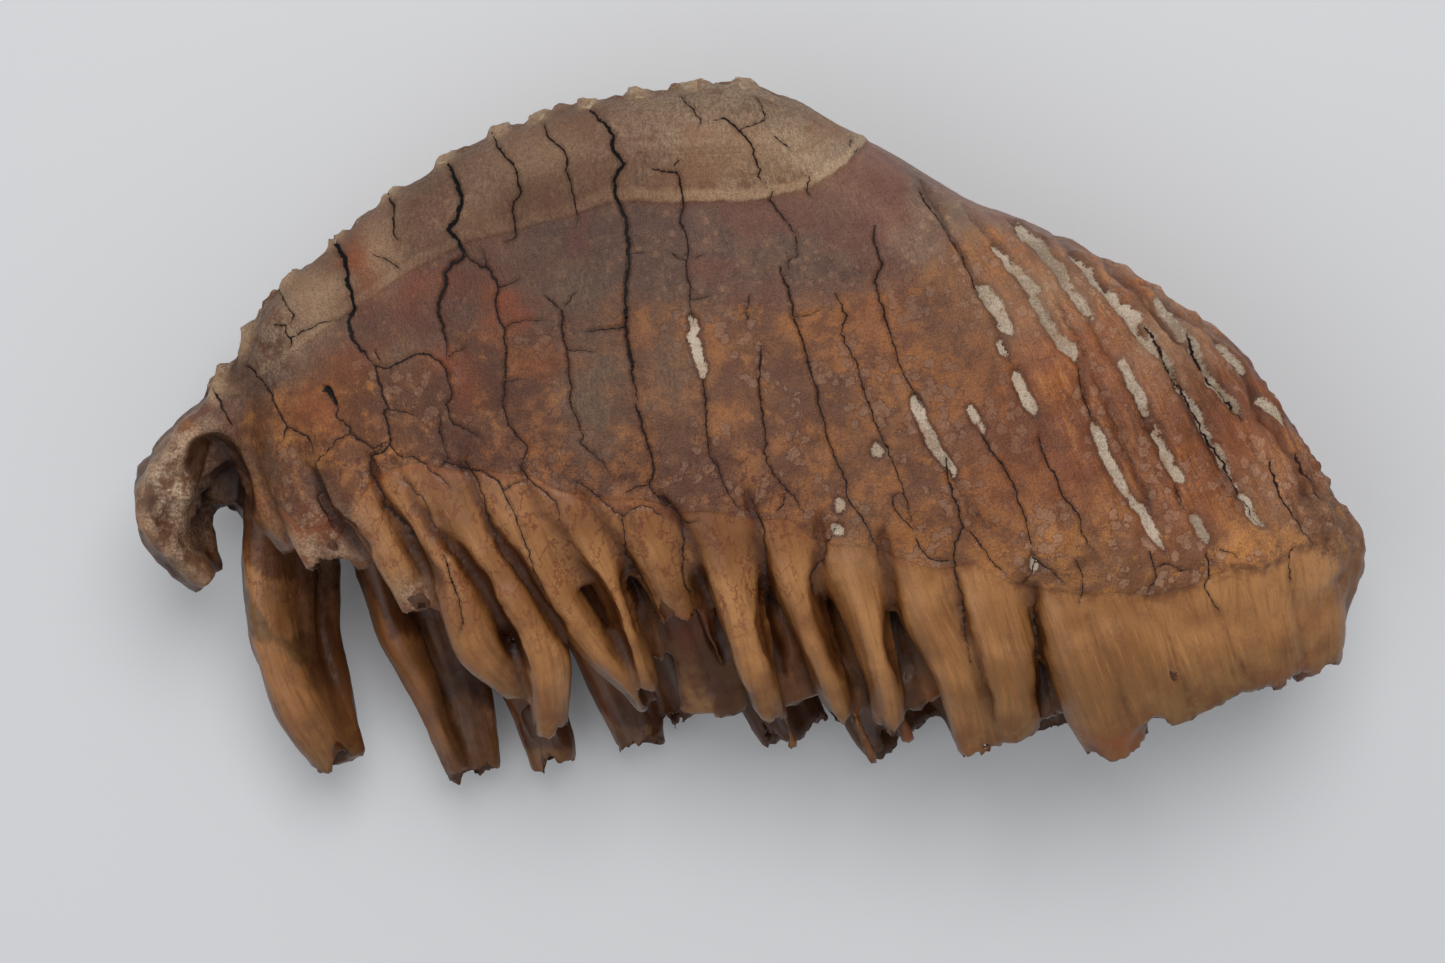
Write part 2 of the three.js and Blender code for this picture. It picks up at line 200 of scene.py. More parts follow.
WEBS = [
    [(-30, -2, 71, 8, 4), (-22, -26, 65, 7, 2.5), (-15, -46, 58, 6, 1.6)],
    [(-15, -4, 71, 8, 4), (-9, -24, 66, 8, 2.5), (-3, -46, 58, 9, 2), (-2, -62, 52, 9, 1.6)],
    [(4, -8, 71, 8, 4), (12, -34, 66, 8, 2.2), (20, -59, 58, 8, 1.7)],
    [(20, -8, 71, 8, 4), (29, -36, 66, 8, 2.2), (36, -61, 58, 7, 1.7)],
    [(35, -8, 71, 8, 4), (45, -32, 67, 9, 2.2), (52, -59, 60, 9, 1.6)],
    [(73, -14, 71, 8, 4), (83, -38, 68, 9, 2.4), (86, -63, 62, 9, 1.6)],
    [(-120, 14, 55, 8, 9), (-116, -3, 57, 8, 7), (-107, -17, 60, 6, 5)],
    [(-126, 14, 37, 9, 8), (-129, -9, 33, 9, 5)],
    [(-107, 10, 62, 8, 8), (-99, -8, 66, 8, 6), (-91, -23, 65, 7, 5)],
    [(-95, 17, 68, 8, 9), (-84.5, -5, 73, 6, 7), (-77, -20, 70, 5, 6), (-71, -31, 66, 4, 4)],
    [(-82, 15, 71, 8, 9), (-71, -8, 75, 6, 7), (-62, -25, 71, 5, 6), (-56, -38, 66, 4, 4.5)],
    [(-69, 12, 73, 8, 9), (-58, -10, 76, 6, 7), (-48, -27, 71, 5, 6), (-40, -41, 66, 4, 4.5)],
    [(-54, 9, 75, 8, 9), (-43, -12, 76.5, 6, 7), (-34.5, -27, 72, 4.5, 6)],
    [(91, -15, 74, 10, 9), (101, -41, 74, 10, 8), (109, -63, 66, 9, 6)],
    [(108, -16, 71, 10, 9), (118, -41, 70, 10, 8), (124, -59, 64, 8, 6)],
    [(123, -17, 67, 10, 9), (132, -40, 66, 10, 8), (136, -54, 61, 8, 6)],
    [(138, -14, 63, 9, 9), (145, -36, 61, 9, 8), (147, -51, 56, 7, 6)],
    [(150, -12, 56, 8, 9), (154, -30, 54, 7, 8), (151.5, -45, 50, 6, 6)],
    [(-113, 0, 31, 9, 6), (-113, -25, 30, 8, 4.5), (-111, -45, 28, 7, 4), (-99, -71, 26, 4.5, 3)],
]
SCOOP = [(-134.5, 11, 70, 4.5, 14), (-132, 4, 69, 7, 20), (-130, -3, 68, 8, 24), (-127.5, -12, 66, 6, 22)]
PULP_TROUGH = [
    (-118, -10, 46, 6, 12), (-92, -16, 46, 11, 17), (-40, -24, 46, 14, 20), (10, -30, 46, 15, 21),
    (70, -36, 46, 15, 21), (120, -38, 46, 14, 17), (150, -32, 46, 10, 8),
]
ROOTS = FRONT_ROOT + SEEN_ROOTS + FAR_ROOTS
print(len(ROOTS), "roots and", len(WEBS), "webs")

# %% [markdown]
# ## A block of small cells
#
# Roots that melt into a crown, hollow tips and walls worn through are hard to make from sheets that are
# stitched together. A field is easier: fill a block with small cells, give each cell its distance from the
# tooth's surface, below zero inside, and join shapes by taking the smaller distance. A soft minimum rounds
# each join, as bone does.

# %% The block, and soft joins
CELL = 1.0
MARGIN = 3.0
OUTSIDE = 30.0  # the distance given to cells that no shape reaches
AXES = [np.arange(low - MARGIN, high + MARGIN + CELL, CELL) for low, high in zip(BOX_LOW, BOX_HIGH)]
GRID_LOW = np.array([axis[0] for axis in AXES])
GRID_SHAPE = tuple(len(axis) for axis in AXES)
print("cells:", GRID_SHAPE)


def soft_min(a, b, width):
    h = np.maximum(width - np.abs(a - b), 0) / width
    return np.minimum(a, b) - h * h * width / 4


def soft_max(a, b, width):
    return -soft_min(-a, -b, width)


def cells_round(points, reach):
    """The part of the block within reach of some points: its slices, and the places of its cells."""
    low = np.floor((points.min(0) - reach - GRID_LOW) / CELL).astype(int)
    high = np.ceil((points.max(0) + reach - GRID_LOW) / CELL).astype(int) + 1
    low, high = np.maximum(low, 0), np.minimum(high, GRID_SHAPE)
    part = tuple(slice(a, b) for a, b in zip(low, high))
    cells = np.meshgrid(*(axis[p] for axis, p in zip(AXES, part)), indexing="ij")
    return part, np.stack(cells, -1).reshape(-1, 3).astype(np.float32)


# %% [markdown]
# ## The crown's fan of plates
#
# Any point of the crown lies on one line of the fan. Its number along the row of plates and its height on
# that line are found by halving: the point is left of one line and right of the next. Both numbers are used
# again for the grooves, the cracks and the colours.

# %% Which plate a point is on
HALVINGS = 16


def chewed_share(plate):
    """1 on the plates that were chewed on, and 0 on those that never came up."""
    return 1 - ramp(plate, CHEWED_PLATES, UNWORN_FROM)


def between(a, b, share):
    return a + (b - a) * share


FAN = smooth_rows(PLATES, 8)
PLATE_OF_ROW = np.linspace(0, len(PLATES) - 1, len(FAN))
FAN[:, :2] *= between(UNWORN_EDGE_SHARE, CHEWED_EDGE_SHARE, chewed_share(PLATE_OF_ROW))[:, None]
FAN[:, :2] -= ORIGIN
FAN[:, 2:4] -= ORIGIN


def fan_at(plate):
    """The fan's line at a plate number: its top, its bottom and its half thickness."""
    return [np.interp(plate, PLATE_OF_ROW, column) for column in FAN.T]


def left_of(plate, x, y):
    """How far a point is to the front of a plate's line, its height on it (-1 to 1), and its half length."""
    tx, ty, bx, by, _ = fan_at(plate)
    length = np.hypot(tx - bx, ty - by)
    across = ((x - bx) * (ty - by) - (y - by) * (tx - bx)) / length
    height = 2 * ((x - bx) * (tx - bx) + (y - by) * (ty - by)) / length**2 - 1
    return -across, height, length / 2


def plate_and_height(x, y):
    """For each point: its plate, its height on it (-1 to 1), half length, and how far off the row's end."""
    low, high = np.zeros_like(x), np.full_like(x, len(PLATES) - 1.0)
    for _ in range(HALVINGS):
        middle = (low + high) / 2
        behind = left_of(middle, x, y)[0] < 0
        low, high = np.where(behind, middle, low), np.where(behind, high, middle)
    plate = (low + high) / 2
    _, height, half = left_of(plate, x, y)
    past_ends = np.maximum(left_of(0.0, x, y)[0], -left_of(len(PLATES) - 1.0, x, y)[0])
    return plate, height, half, past_ends


# %% [markdown]
# Seen from its end, the crown is a rounded box. Its power tells how square the box is: high on the chewed
# plates, lower on the unworn ones. Divided by its own steepness, the box's share becomes a distance in
# millimetres.

# %% The crown's field
def crown_field():
    x, y = np.meshgrid(AXES[0], AXES[1], indexing="ij")
    plate, height, _, past_ends = plate_and_height(x, y)
    half_depth = fan_at(plate)[4]
    top_square = between(UNWORN_SQUARENESS, CHEWED_SQUARENESS, chewed_share(plate))
    square = np.where(height > 0, top_square, ROOT_SIDE_SQUARENESS)
    flat = (np.abs(height) ** square, square, half_depth, past_ends)
    up, square, half_depth, past_ends = (np.float32(a)[..., None] for a in flat)
    depth = np.abs(AXES[2] - MID_HEIGHT).astype(np.float32)[None, None, :]
    share = (up + (depth / half_depth) ** square) ** (1 / square)
    steep = np.sqrt(sum(g * g for g in np.gradient(share, CELL)))
    distance = np.clip((share - 1) / np.maximum(steep, 1e-3), -OUTSIDE, OUTSIDE)
    return soft_max(distance, past_ends, 4)


crown = crown_field()
print("crown:", int((crown < 0).sum() * CELL**3 / 1000), "cubic centimetres")

# %% [markdown]
# ## Roots
#
# A root is a bent tube that gets thinner. For each cell near it, the nearest place on its path gives how
# far the cell is across the root, how deep, and how far along. An oval distance makes the outside, a
# smaller oval makes the hollow, and the broken end is cut off by a wavy edge that differs from root to
# root.

# %% Places along a root
def beside(points, rows, steps=6):
    """Where points lie beside a path: across, deep and along it; then its length, and half sizes there."""
    line = smooth_rows(place(rows), steps).astype(np.float32)
    centre, sizes = line[:, :3], line[:, 3:]
    hops = np.diff(centre, axis=0)
    run = np.concatenate([[0], np.cumsum(np.linalg.norm(hops, axis=1))])
    ahead = np.gradient(centre, axis=0)
    nearest = np.full(len(points), 1e9, np.float32)
    where = np.zeros(len(points), np.float32)
    for i, hop in enumerate(hops):
        offset = points - centre[i]
        share = np.clip(offset @ hop / (hop @ hop), 0, 1)
        gap = offset - share[:, None] * hop
        distance = np.einsum("ij,ij->i", gap, gap)
        nearer = distance < nearest
        nearest[nearer] = distance[nearer]
        where[nearer] = i + share[nearer]
    i = np.minimum(where.astype(int), len(hops) - 1)
    f = (where - i)[:, None]
    offset = points - (centre[i] * (1 - f) + centre[i + 1] * f)
    tangent = ahead[i] * (1 - f) + ahead[i + 1] * f
    tangent /= np.linalg.norm(tangent, axis=1)[:, None]
    side = np.cross(tangent, (0, 0, 1))
    side /= np.linalg.norm(side, axis=1)[:, None]
    across = -np.einsum("ij,ij->i", offset, side)
    deep = np.einsum("ij,ij->i", offset, np.cross(side, tangent))
    along = np.interp(where, np.arange(len(run)), run) + np.einsum("ij,ij->i", offset, tangent)
    return across, deep, along, run[-1], sizes[i] * (1 - f) + sizes[i + 1] * f


def oval_distance(across, deep, sizes):
    """About how far a point is outside an oval of these half sizes."""
    a, b = across / sizes[:, 0], deep / sizes[:, 1]
    k = np.hypot(a, b)
    return k * (k - 1) / np.maximum(np.hypot(a / sizes[:, 0], b / sizes[:, 1]), 1e-4)


# %% [markdown]
# Each root joins the field of roots with a soft minimum, and its hollow goes into a field of hollows. The
# wall thins towards the broken end. Solid ends break off short, hollow ones and webs in longer teeth.

# %% Roots, hollows and webs as fields
WALL, THINNED_BY, THIN_FOR = 1.9, 0.9, 14  # a hollow root's wall, what it loses, and how far from the end
REACH = 9  # cells up to this far outside a root are worked out
JAGS = {"hollow": 4.6, "solid": 1.6, "web": 4.0}


def wavy_end(turn, seed, size):
    """How much is broken off the end of a root, by the direction round it."""
    rng = np.random.default_rng(seed)
    waves = [np.abs(np.sin(k * turn / 2 + rng.uniform(0, 6.28))) * rng.uniform(0.4, 1) / k**0.5
             for k in (1, 2, 3, 5, 8, 13)]
    return size * (0.65 * sum(waves) - 0.35)


def add_root(outside, hollows, rows, hollow_from, seed, jag):
    """Joins one root to the field of roots, and its hollow to the field of hollows."""
    part, cells = cells_round(place(rows)[:, :3], max(max(row[3:]) for row in rows) + REACH)
    across, deep, along, length, sizes = beside(cells, rows)
    turn = np.arctan2(deep, across)
    end = along - length + wavy_end(turn, seed, jag)
    flutes = 0.3 * np.sin(3 * turn + seed) + 0.2 * np.sin(5 * turn + along / 25 + seed)
    distance = soft_max(oval_distance(across, deep, sizes) + flutes, end, 0.8)
    distance = soft_max(distance, -along, 4)
    outside[part] = soft_min(outside[part], distance.reshape(outside[part].shape), 2)
    if hollow_from < 1:
        wall = WALL - THINNED_BY * ramp(along, length - THIN_FOR, length)
        inner = oval_distance(across, deep, np.maximum(sizes - wall[:, None], 0.8))
        inner = soft_max(inner + 0.3 * np.sin(2 * turn + seed), hollow_from * length - along, 3)
        hollows[part] = np.minimum(hollows[part], inner.reshape(hollows[part].shape))


def add_tube(field, rows, reach, rounding):
    """Adds a plain tube with rounded ends to a field."""
    part, cells = cells_round(place(rows)[:, :3], reach)
    across, deep, along, length, sizes = beside(cells, rows)
    tube = soft_max(soft_max(oval_distance(across, deep, sizes), -along, rounding), along - length, rounding)
    field[part] = np.minimum(field[part], tube.reshape(field[part].shape))


roots = np.full(GRID_SHAPE, OUTSIDE, np.float32)
hollows = np.full(GRID_SHAPE, OUTSIDE, np.float32)
for seed, (rows, hollow_from) in enumerate(ROOTS):
    add_root(roots, hollows, rows, hollow_from, seed, JAGS["hollow" if hollow_from < 1 else "solid"])
for seed, rows in enumerate(WEBS, start=100):
    add_root(roots, hollows, rows, SOLID, seed, JAGS["web"])
add_tube(hollows, SCOOP, 12, 3)
print("roots done after", round(time.time() - started, 1), "s")

# %% [markdown]
# A wide shallow trough runs between the two rows of roots. It is cut out of the crown before the roots join
# it. Nothing may go below the table, which the tooth touches.

# %% Join them into one field
TABLE_CLEARANCE = 0.06
trough = np.full(GRID_SHAPE, OUTSIDE, np.float32)
add_tube(trough, PULP_TROUGH, 30, 4)
outer = soft_min(soft_max(crown, -trough, 3), roots, 5)
tooth_field = soft_max(outer, -hollows, 0.5)
tooth_field = np.maximum(tooth_field, TABLE_CLEARANCE - AXES[2].astype(np.float32)[None, None, :])
print("tooth:", int((tooth_field < 0).sum() * CELL**3 / 1000), "cubic centimetres")

# %% [markdown]
# ## From cells to a skin
#
# OpenVDB, which Blender carries, wraps a net of squares round the cells where the field is zero. Loose
# crumbs are dropped, and the Decimate modifier takes out most of the net: flat places need few triangles.
# Where the photo shows detail the net is made finer again later, each new corner being put back on the
# field.

# %% Wrap the field
ROUGH_TRIANGLES = 46000


class Net:
    """Corners in millimetres and triangles as rows of three corner numbers."""

    def __init__(self, corners, triangles):
        self.corners = np.asarray(corners, np.float64)
        self.triangles = np.asarray(triangles, np.int64)

    def edges(self):
        """Each edge once, and for every triangle the numbers of its three edges."""
        pairs = np.sort(self.triangles[:, [[0, 1], [1, 2], [2, 0]]], axis=2)
        keys, edge_of = np.unique(pairs[..., 0] * len(self.corners) + pairs[..., 1], return_inverse=True)
        ends = np.stack([keys // len(self.corners), keys % len(self.corners)], 1)
        return ends, edge_of.reshape(-1, 3)


def biggest_part(corners, faces):
    """Keeps only the largest connected part of a net."""
    label = np.arange(len(corners))
    pairs = np.vstack([faces[:, [i, (i + 1) % faces.shape[1]]] for i in range(faces.shape[1])])
    while True:
        lowest = np.minimum(label[pairs[:, 0]], label[pairs[:, 1]])
        fresh = label.copy()
        np.minimum.at(fresh, pairs[:, 0], lowest)
        np.minimum.at(fresh, pairs[:, 1], lowest)
        fresh = fresh[fresh]
        if (fresh == label).all():
            break
        label = fresh
    names, counts = np.unique(label[faces[:, 0]], return_counts=True)
    print("parts in the net:", len(names), "with", counts.max(), "faces in the largest")
    kept = faces[label[faces[:, 0]] == names[counts.argmax()]]
    used, renumbered = np.unique(kept, return_inverse=True)
    return corners[used], renumbered.reshape(kept.shape)


def mesh_from(name, corners, faces):
    mesh = bpy.data.meshes.new(name)
    mesh.vertices.add(len(corners))
    mesh.vertices.foreach_set("co", (corners * MM).astype(np.float32).ravel())
    mesh.loops.add(faces.size)
    mesh.loops.foreach_set("vertex_index", faces.astype(np.int32).ravel())
    mesh.polygons.add(len(faces))
    mesh.polygons.foreach_set("loop_start", np.arange(0, faces.size, faces.shape[1], dtype=np.int32))
    mesh.update(calc_edges=True)
    mesh.validate()
    return mesh


def net_of(mesh):
    corners = np.empty(len(mesh.vertices) * 3, np.float32)
    mesh.vertices.foreach_get("co", corners)
    mesh.calc_loop_triangles()
    triangles = np.empty(len(mesh.loop_triangles) * 3, np.int32)
    mesh.loop_triangles.foreach_get("vertices", triangles)
    return Net(corners.reshape(-1, 3) / MM, triangles.reshape(-1, 3))


def thinned(corners, faces, triangles_wanted):
    """The same skin with fewer triangles, by the Decimate modifier."""
    mesh = mesh_from("rough skin", corners, faces)
    thing = bpy.data.objects.new("rough skin", mesh)
    bpy.context.scene.collection.objects.link(thing)
    modifier = thing.modifiers.new("fewer triangles", "DECIMATE")
    modifier.ratio = triangles_wanted / (len(faces) * (faces.shape[1] - 2))
    modifier.use_collapse_triangulate = True
    bpy.context.view_layer.update()
    evaluated = thing.evaluated_get(bpy.context.evaluated_depsgraph_get())
    result = net_of(bpy.data.meshes.new_from_object(evaluated))
    bpy.data.objects.remove(thing)
    return result


vdb_grid = openvdb.FloatGrid()
vdb_grid.copyFromArray(tooth_field)
cell_corners, squares = vdb_grid.convertToQuads(isovalue=0.0)
skin_corners, skin_squares = biggest_part(GRID_LOW + CELL * cell_corners, squares.astype(np.int64))
skin = thinned(skin_corners, skin_squares, ROUGH_TRIANGLES)
a, b, c = (skin.corners[skin.triangles[:, i]] for i in range(3))
volume = np.einsum("ij,ij->i", a, np.cross(b, c)).sum() / 6000
print(len(squares), "squares,", len(skin.triangles), "triangles, volume", round(volume), "cubic centimetres")

# %% [markdown]
# ## Put corners back on the field, and make the net finer where it is looked at
#
# Between the cells the field is blended, so its slope gives the skin's direction and how far a corner is
# off. An edge that is too long is cut in the middle. Cutting the longest edge of a triangle first keeps
# triangles plump.

# %% Read the field at any point
def sample(field, points):
    where = np.clip((points - GRID_LOW) / CELL, 0, np.array(GRID_SHAPE) - 1.001)
    i = where.astype(int)
    f = where - i
    total = 0
    for step in np.ndindex(2, 2, 2):
        weight = np.prod(np.where(step, f, 1 - f), axis=1)
        total = total + weight * field[tuple((i + step).T)]
    return total


def slope(field, points, reach=0.8):
    steps = np.eye(3) * reach
    return np.stack([sample(field, points + s) - sample(field, points - s) for s in steps], 1) / (2 * reach)


def unit(vectors):
    return vectors / np.maximum(np.linalg.norm(vectors, axis=1, keepdims=True), 1e-6)


def onto_field(points, rounds=3):
    for _ in range(rounds):
        direction = slope(tooth_field, points)
        steep = np.maximum((direction**2).sum(1, keepdims=True), 0.2)
        points = points - np.clip(sample(tooth_field, points)[:, None] / steep * direction, -0.7, 0.7)
    return points


def corner_normals(net):
    a, b, c = (net.corners[net.triangles[:, i]] for i in range(3))
    face = np.cross(b - a, c - a)
    corner = net.triangles.ravel()
    total = [np.bincount(corner, np.repeat(face[:, k], 3), len(net.corners)) for k in range(3)]
    return unit(np.stack(total, 1))


def finer(net, wanted_length, rounds):
    """Cuts edges longer than wanted_length gives for their corners, round by round."""
    for _ in range(rounds):
        ends, edge_of = net.edges()
        length = np.linalg.norm(net.corners[ends[:, 0]] - net.corners[ends[:, 1]], axis=1)
        wanted = wanted_length(net)[ends].mean(1)
        cut = length > 1.35 * wanted
        if not cut.any():
            break
        longest = edge_of[np.arange(len(edge_of)), length[edge_of].argmax(1)]
        while True:
            more = longest[cut[edge_of].any(1)]
            if cut[more].all():
                break
            cut[more] = True
        middle_of = np.full(len(ends), -1)
        middle_of[cut] = len(net.corners) + np.arange(cut.sum())
        middles = onto_field(net.corners[ends[cut]].mean(1))
        net = Net(np.vstack([net.corners, middles]), cut_triangles(net.triangles, edge_of, middle_of, length))
    return net


def cut_triangles(triangles, edge_of, middle_of, length):
    """The triangles again, each cut in two, three or four where its edges have middles."""
    middles = middle_of[edge_of]
    cuts = (middles >= 0).sum(1)
    # Each triangle is turned so that its longest edge, which is cut whenever any is, comes first.
    order = (length[edge_of].argmax(1)[:, None] + np.arange(3)) % 3
    a, b, c = np.take_along_axis(triangles, order, 1).T
    ab, bc, ca = np.take_along_axis(middles, order, 1).T
    more = cuts >= 2
    parts = [triangles[cuts == 0]]
    for which, *pieces in (
            (cuts == 1, (a, ab, c), (ab, b, c)),
            (more & (bc >= 0), (ab, b, bc), (ab, bc, c)),
            (more & (bc < 0), (ab, b, c)),
            (more & (ca >= 0), (a, ab, ca), (ca, ab, c)),
            (more & (ca < 0), (a, ab, c))):
        parts += [np.stack(corners, 1)[which] for corners in pieces]
    return np.vstack(parts)


def relaxed(net, rounds, held=None):
    """Slides corners along the skin towards the middle of their neighbours."""
    ends, _ = net.edges()
    count = np.bincount(ends.ravel(), minlength=len(net.corners))[:, None]
    points = net.corners
    for _ in range(rounds):
        total = np.zeros_like(points)
        for k in range(3):
            total[:, k] = np.bincount(ends[:, 0], points[ends[:, 1], k], len(points))
            total[:, k] += np.bincount(ends[:, 1], points[ends[:, 0], k], len(points))
        shift = 0.5 * (total / count - points)
        normal = corner_normals(Net(points, net.triangles))
        shift -= (shift * normal).sum(1, keepdims=True) * normal
        if held is not None:
            shift[held] = 0
        points = onto_field(points + shift, 1)
    return Net(points, net.triangles)

# %% [markdown]
# ## Cracks
#
# As it dried, the tooth split along the seams between its plates. Each crack below was read from the photo:
# its width in millimetres at the start and at the end, then places along it. A real crack is never as
# straight as a line between two places that were read, so each line gets small seeded steps to the side.

# %% Cracks of the crown and the roots
FRONT_CRACKS = [
    (0.48, 0.4, [(-115, 50), (-113, 46), (-111, 43), (-112, 41)]),
    (0.48, 0.4, [(-116, 40.5), (-113.5, 40.5), (-113, 38), (-112, 36.5), (-112.5, 34)]),
    (0.48, 0.32, [(-112, 37), (-108, 39), (-104, 41), (-100, 42)]),
    (0.64, 0.48, [(-123, 30), (-121, 28), (-118, 24), (-116, 20), (-114, 17), (-112.5, 14), (-114, 10)]),
    (0.48, 0.4, [(-112.5, 14), (-110, 13), (-107, 12), (-105, 8)]),
    (0.64, 0.4, [(-130, 23), (-129.5, 19), (-127.5, 16), (-126, 13.5)]),
    (2.2, 0.8, [(-102.8, 24.3), (-101, 22), (-99.5, 19.5)]),
    (0.48, 0.32, [(-99.5, 19.5), (-100, 17), (-96, 14), (-96, 12.3), (-99, 11), (-101.5, 8), (-105, 5),
        (-104, 1), (-103.3, -2), (-104.8, -4), (-101.5, -10), (-99.5, -13)]),
    (0.56, 0.4, [(-96, 12.3), (-93, 10.5), (-90, 8.5), (-86, 10.5)]),
]
LEFT_CRACKS = [
    (1.7, 0.64, [(-99.5, 61.5), (-97.5, 58), (-97, 52), (-96, 49), (-95.2, 45), (-97, 41), (-96, 37),
        (-94, 34), (-90, 30)]),
    (0.64, 0.4, [(-90, 30), (-89, 27), (-88, 23), (-86.5, 19), (-87.5, 17.5), (-86.5, 15), (-85.5, 10.5),
        (-87, 8), (-91, 6.5), (-91, 3), (-89.5, -1), (-87, -7), (-83, -12), (-79, -18), (-76, -22)]),
    (0.64, 0.48, [(-90, 30), (-86, 29.3), (-83, 31), (-79, 33), (-76, 33), (-73, 31), (-71.5, 29),
        (-70.5, 25), (-70, 22), (-71.5, 20), (-70.5, 16), (-67, 13.5), (-62, 11)]),
    (0.4, 0.32, [(-90, 34), (-88.5, 31)]),
    (0.4, 0.32, [(-71.3, 31.5), (-69, 33.5), (-66, 35)]),
    (0.4, 0.32, [(-87, 18.8), (-83, 18), (-79, 17)]),
    (0.64, 0.48, [(-85.5, 73.5), (-84.8, 70), (-84.8, 66), (-85, 64), (-83, 62)]),
    (0.32, 0.32, [(-90, 58.5), (-87, 57.5), (-84.5, 56), (-83, 54.5)]),
    (1.5, 0.64, [(-70.5, 81.5), (-69, 78), (-67.5, 74), (-68, 70), (-69, 67), (-71, 65), (-69, 63),
        (-67, 59.5), (-68.5, 57), (-72, 54), (-71.5, 51), (-73.5, 46), (-73.5, 43.5), (-72, 40), (-71.3, 36),
        (-71.3, 31.5)]),
    (0.72, 0.4, [(-66.5, 59), (-65, 57), (-62.5, 55.5), (-61, 55.5), (-58.5, 52), (-58, 49.5), (-58.7, 46),
        (-58, 42), (-56.5, 39.5), (-56.3, 36), (-56, 32), (-56.2, 28), (-56.5, 24), (-57, 20), (-55.5, 14.5),
        (-50.5, 9), (-51.5, 6), (-52.3, 3.5), (-49.5, 0), (-46, -2.5), (-43, -5), (-42, -9), (-40, -13)]),
    (0.4, 0.32, [(-62.5, 60), (-61.5, 57.5), (-61, 55.5)]),
    (0.4, 0.24, [(-58, 50), (-55, 51), (-52.5, 52.5)]),
    (0.4, 0.24, [(-56.5, 39.5), (-54, 41), (-50, 41.7), (-45.5, 41.5)]),
    (0.32, 0.24, [(-55.5, 26), (-51, 26.3)]),
    (0.72, 0.56, [(-59, 89), (-57.5, 86), (-55.5, 83.5), (-53.2, 80.5), (-53, 78), (-52, 74.5), (-54, 72),
        (-54.2, 69.5), (-53.5, 66.5), (-53.3, 63.5), (-54, 62.5), (-56.5, 61.5)]),
    (0.64, 0.4, [(-46, 92), (-45, 89), (-43, 87.5), (-41, 85.5), (-40, 83), (-40.5, 80.5), (-39.5, 78),
        (-38.5, 74), (-38, 71), (-37.2, 68), (-38, 65)]),
    (0.56, 0.4, [(-46, 48), (-43.5, 46), (-41.5, 44), (-41.5, 39), (-40, 34), (-39.8, 29), (-39, 24),
        (-39.5, 21.5), (-38.5, 18), (-36, 12), (-37, 10), (-31, 5), (-29, 1)]),
    (0.32, 0.32, [(-37.5, 49), (-39.5, 46.5), (-41.3, 45)]),
    (0.4, 0.32, [(-40, 34), (-36, 34), (-33, 33.5)]),
]
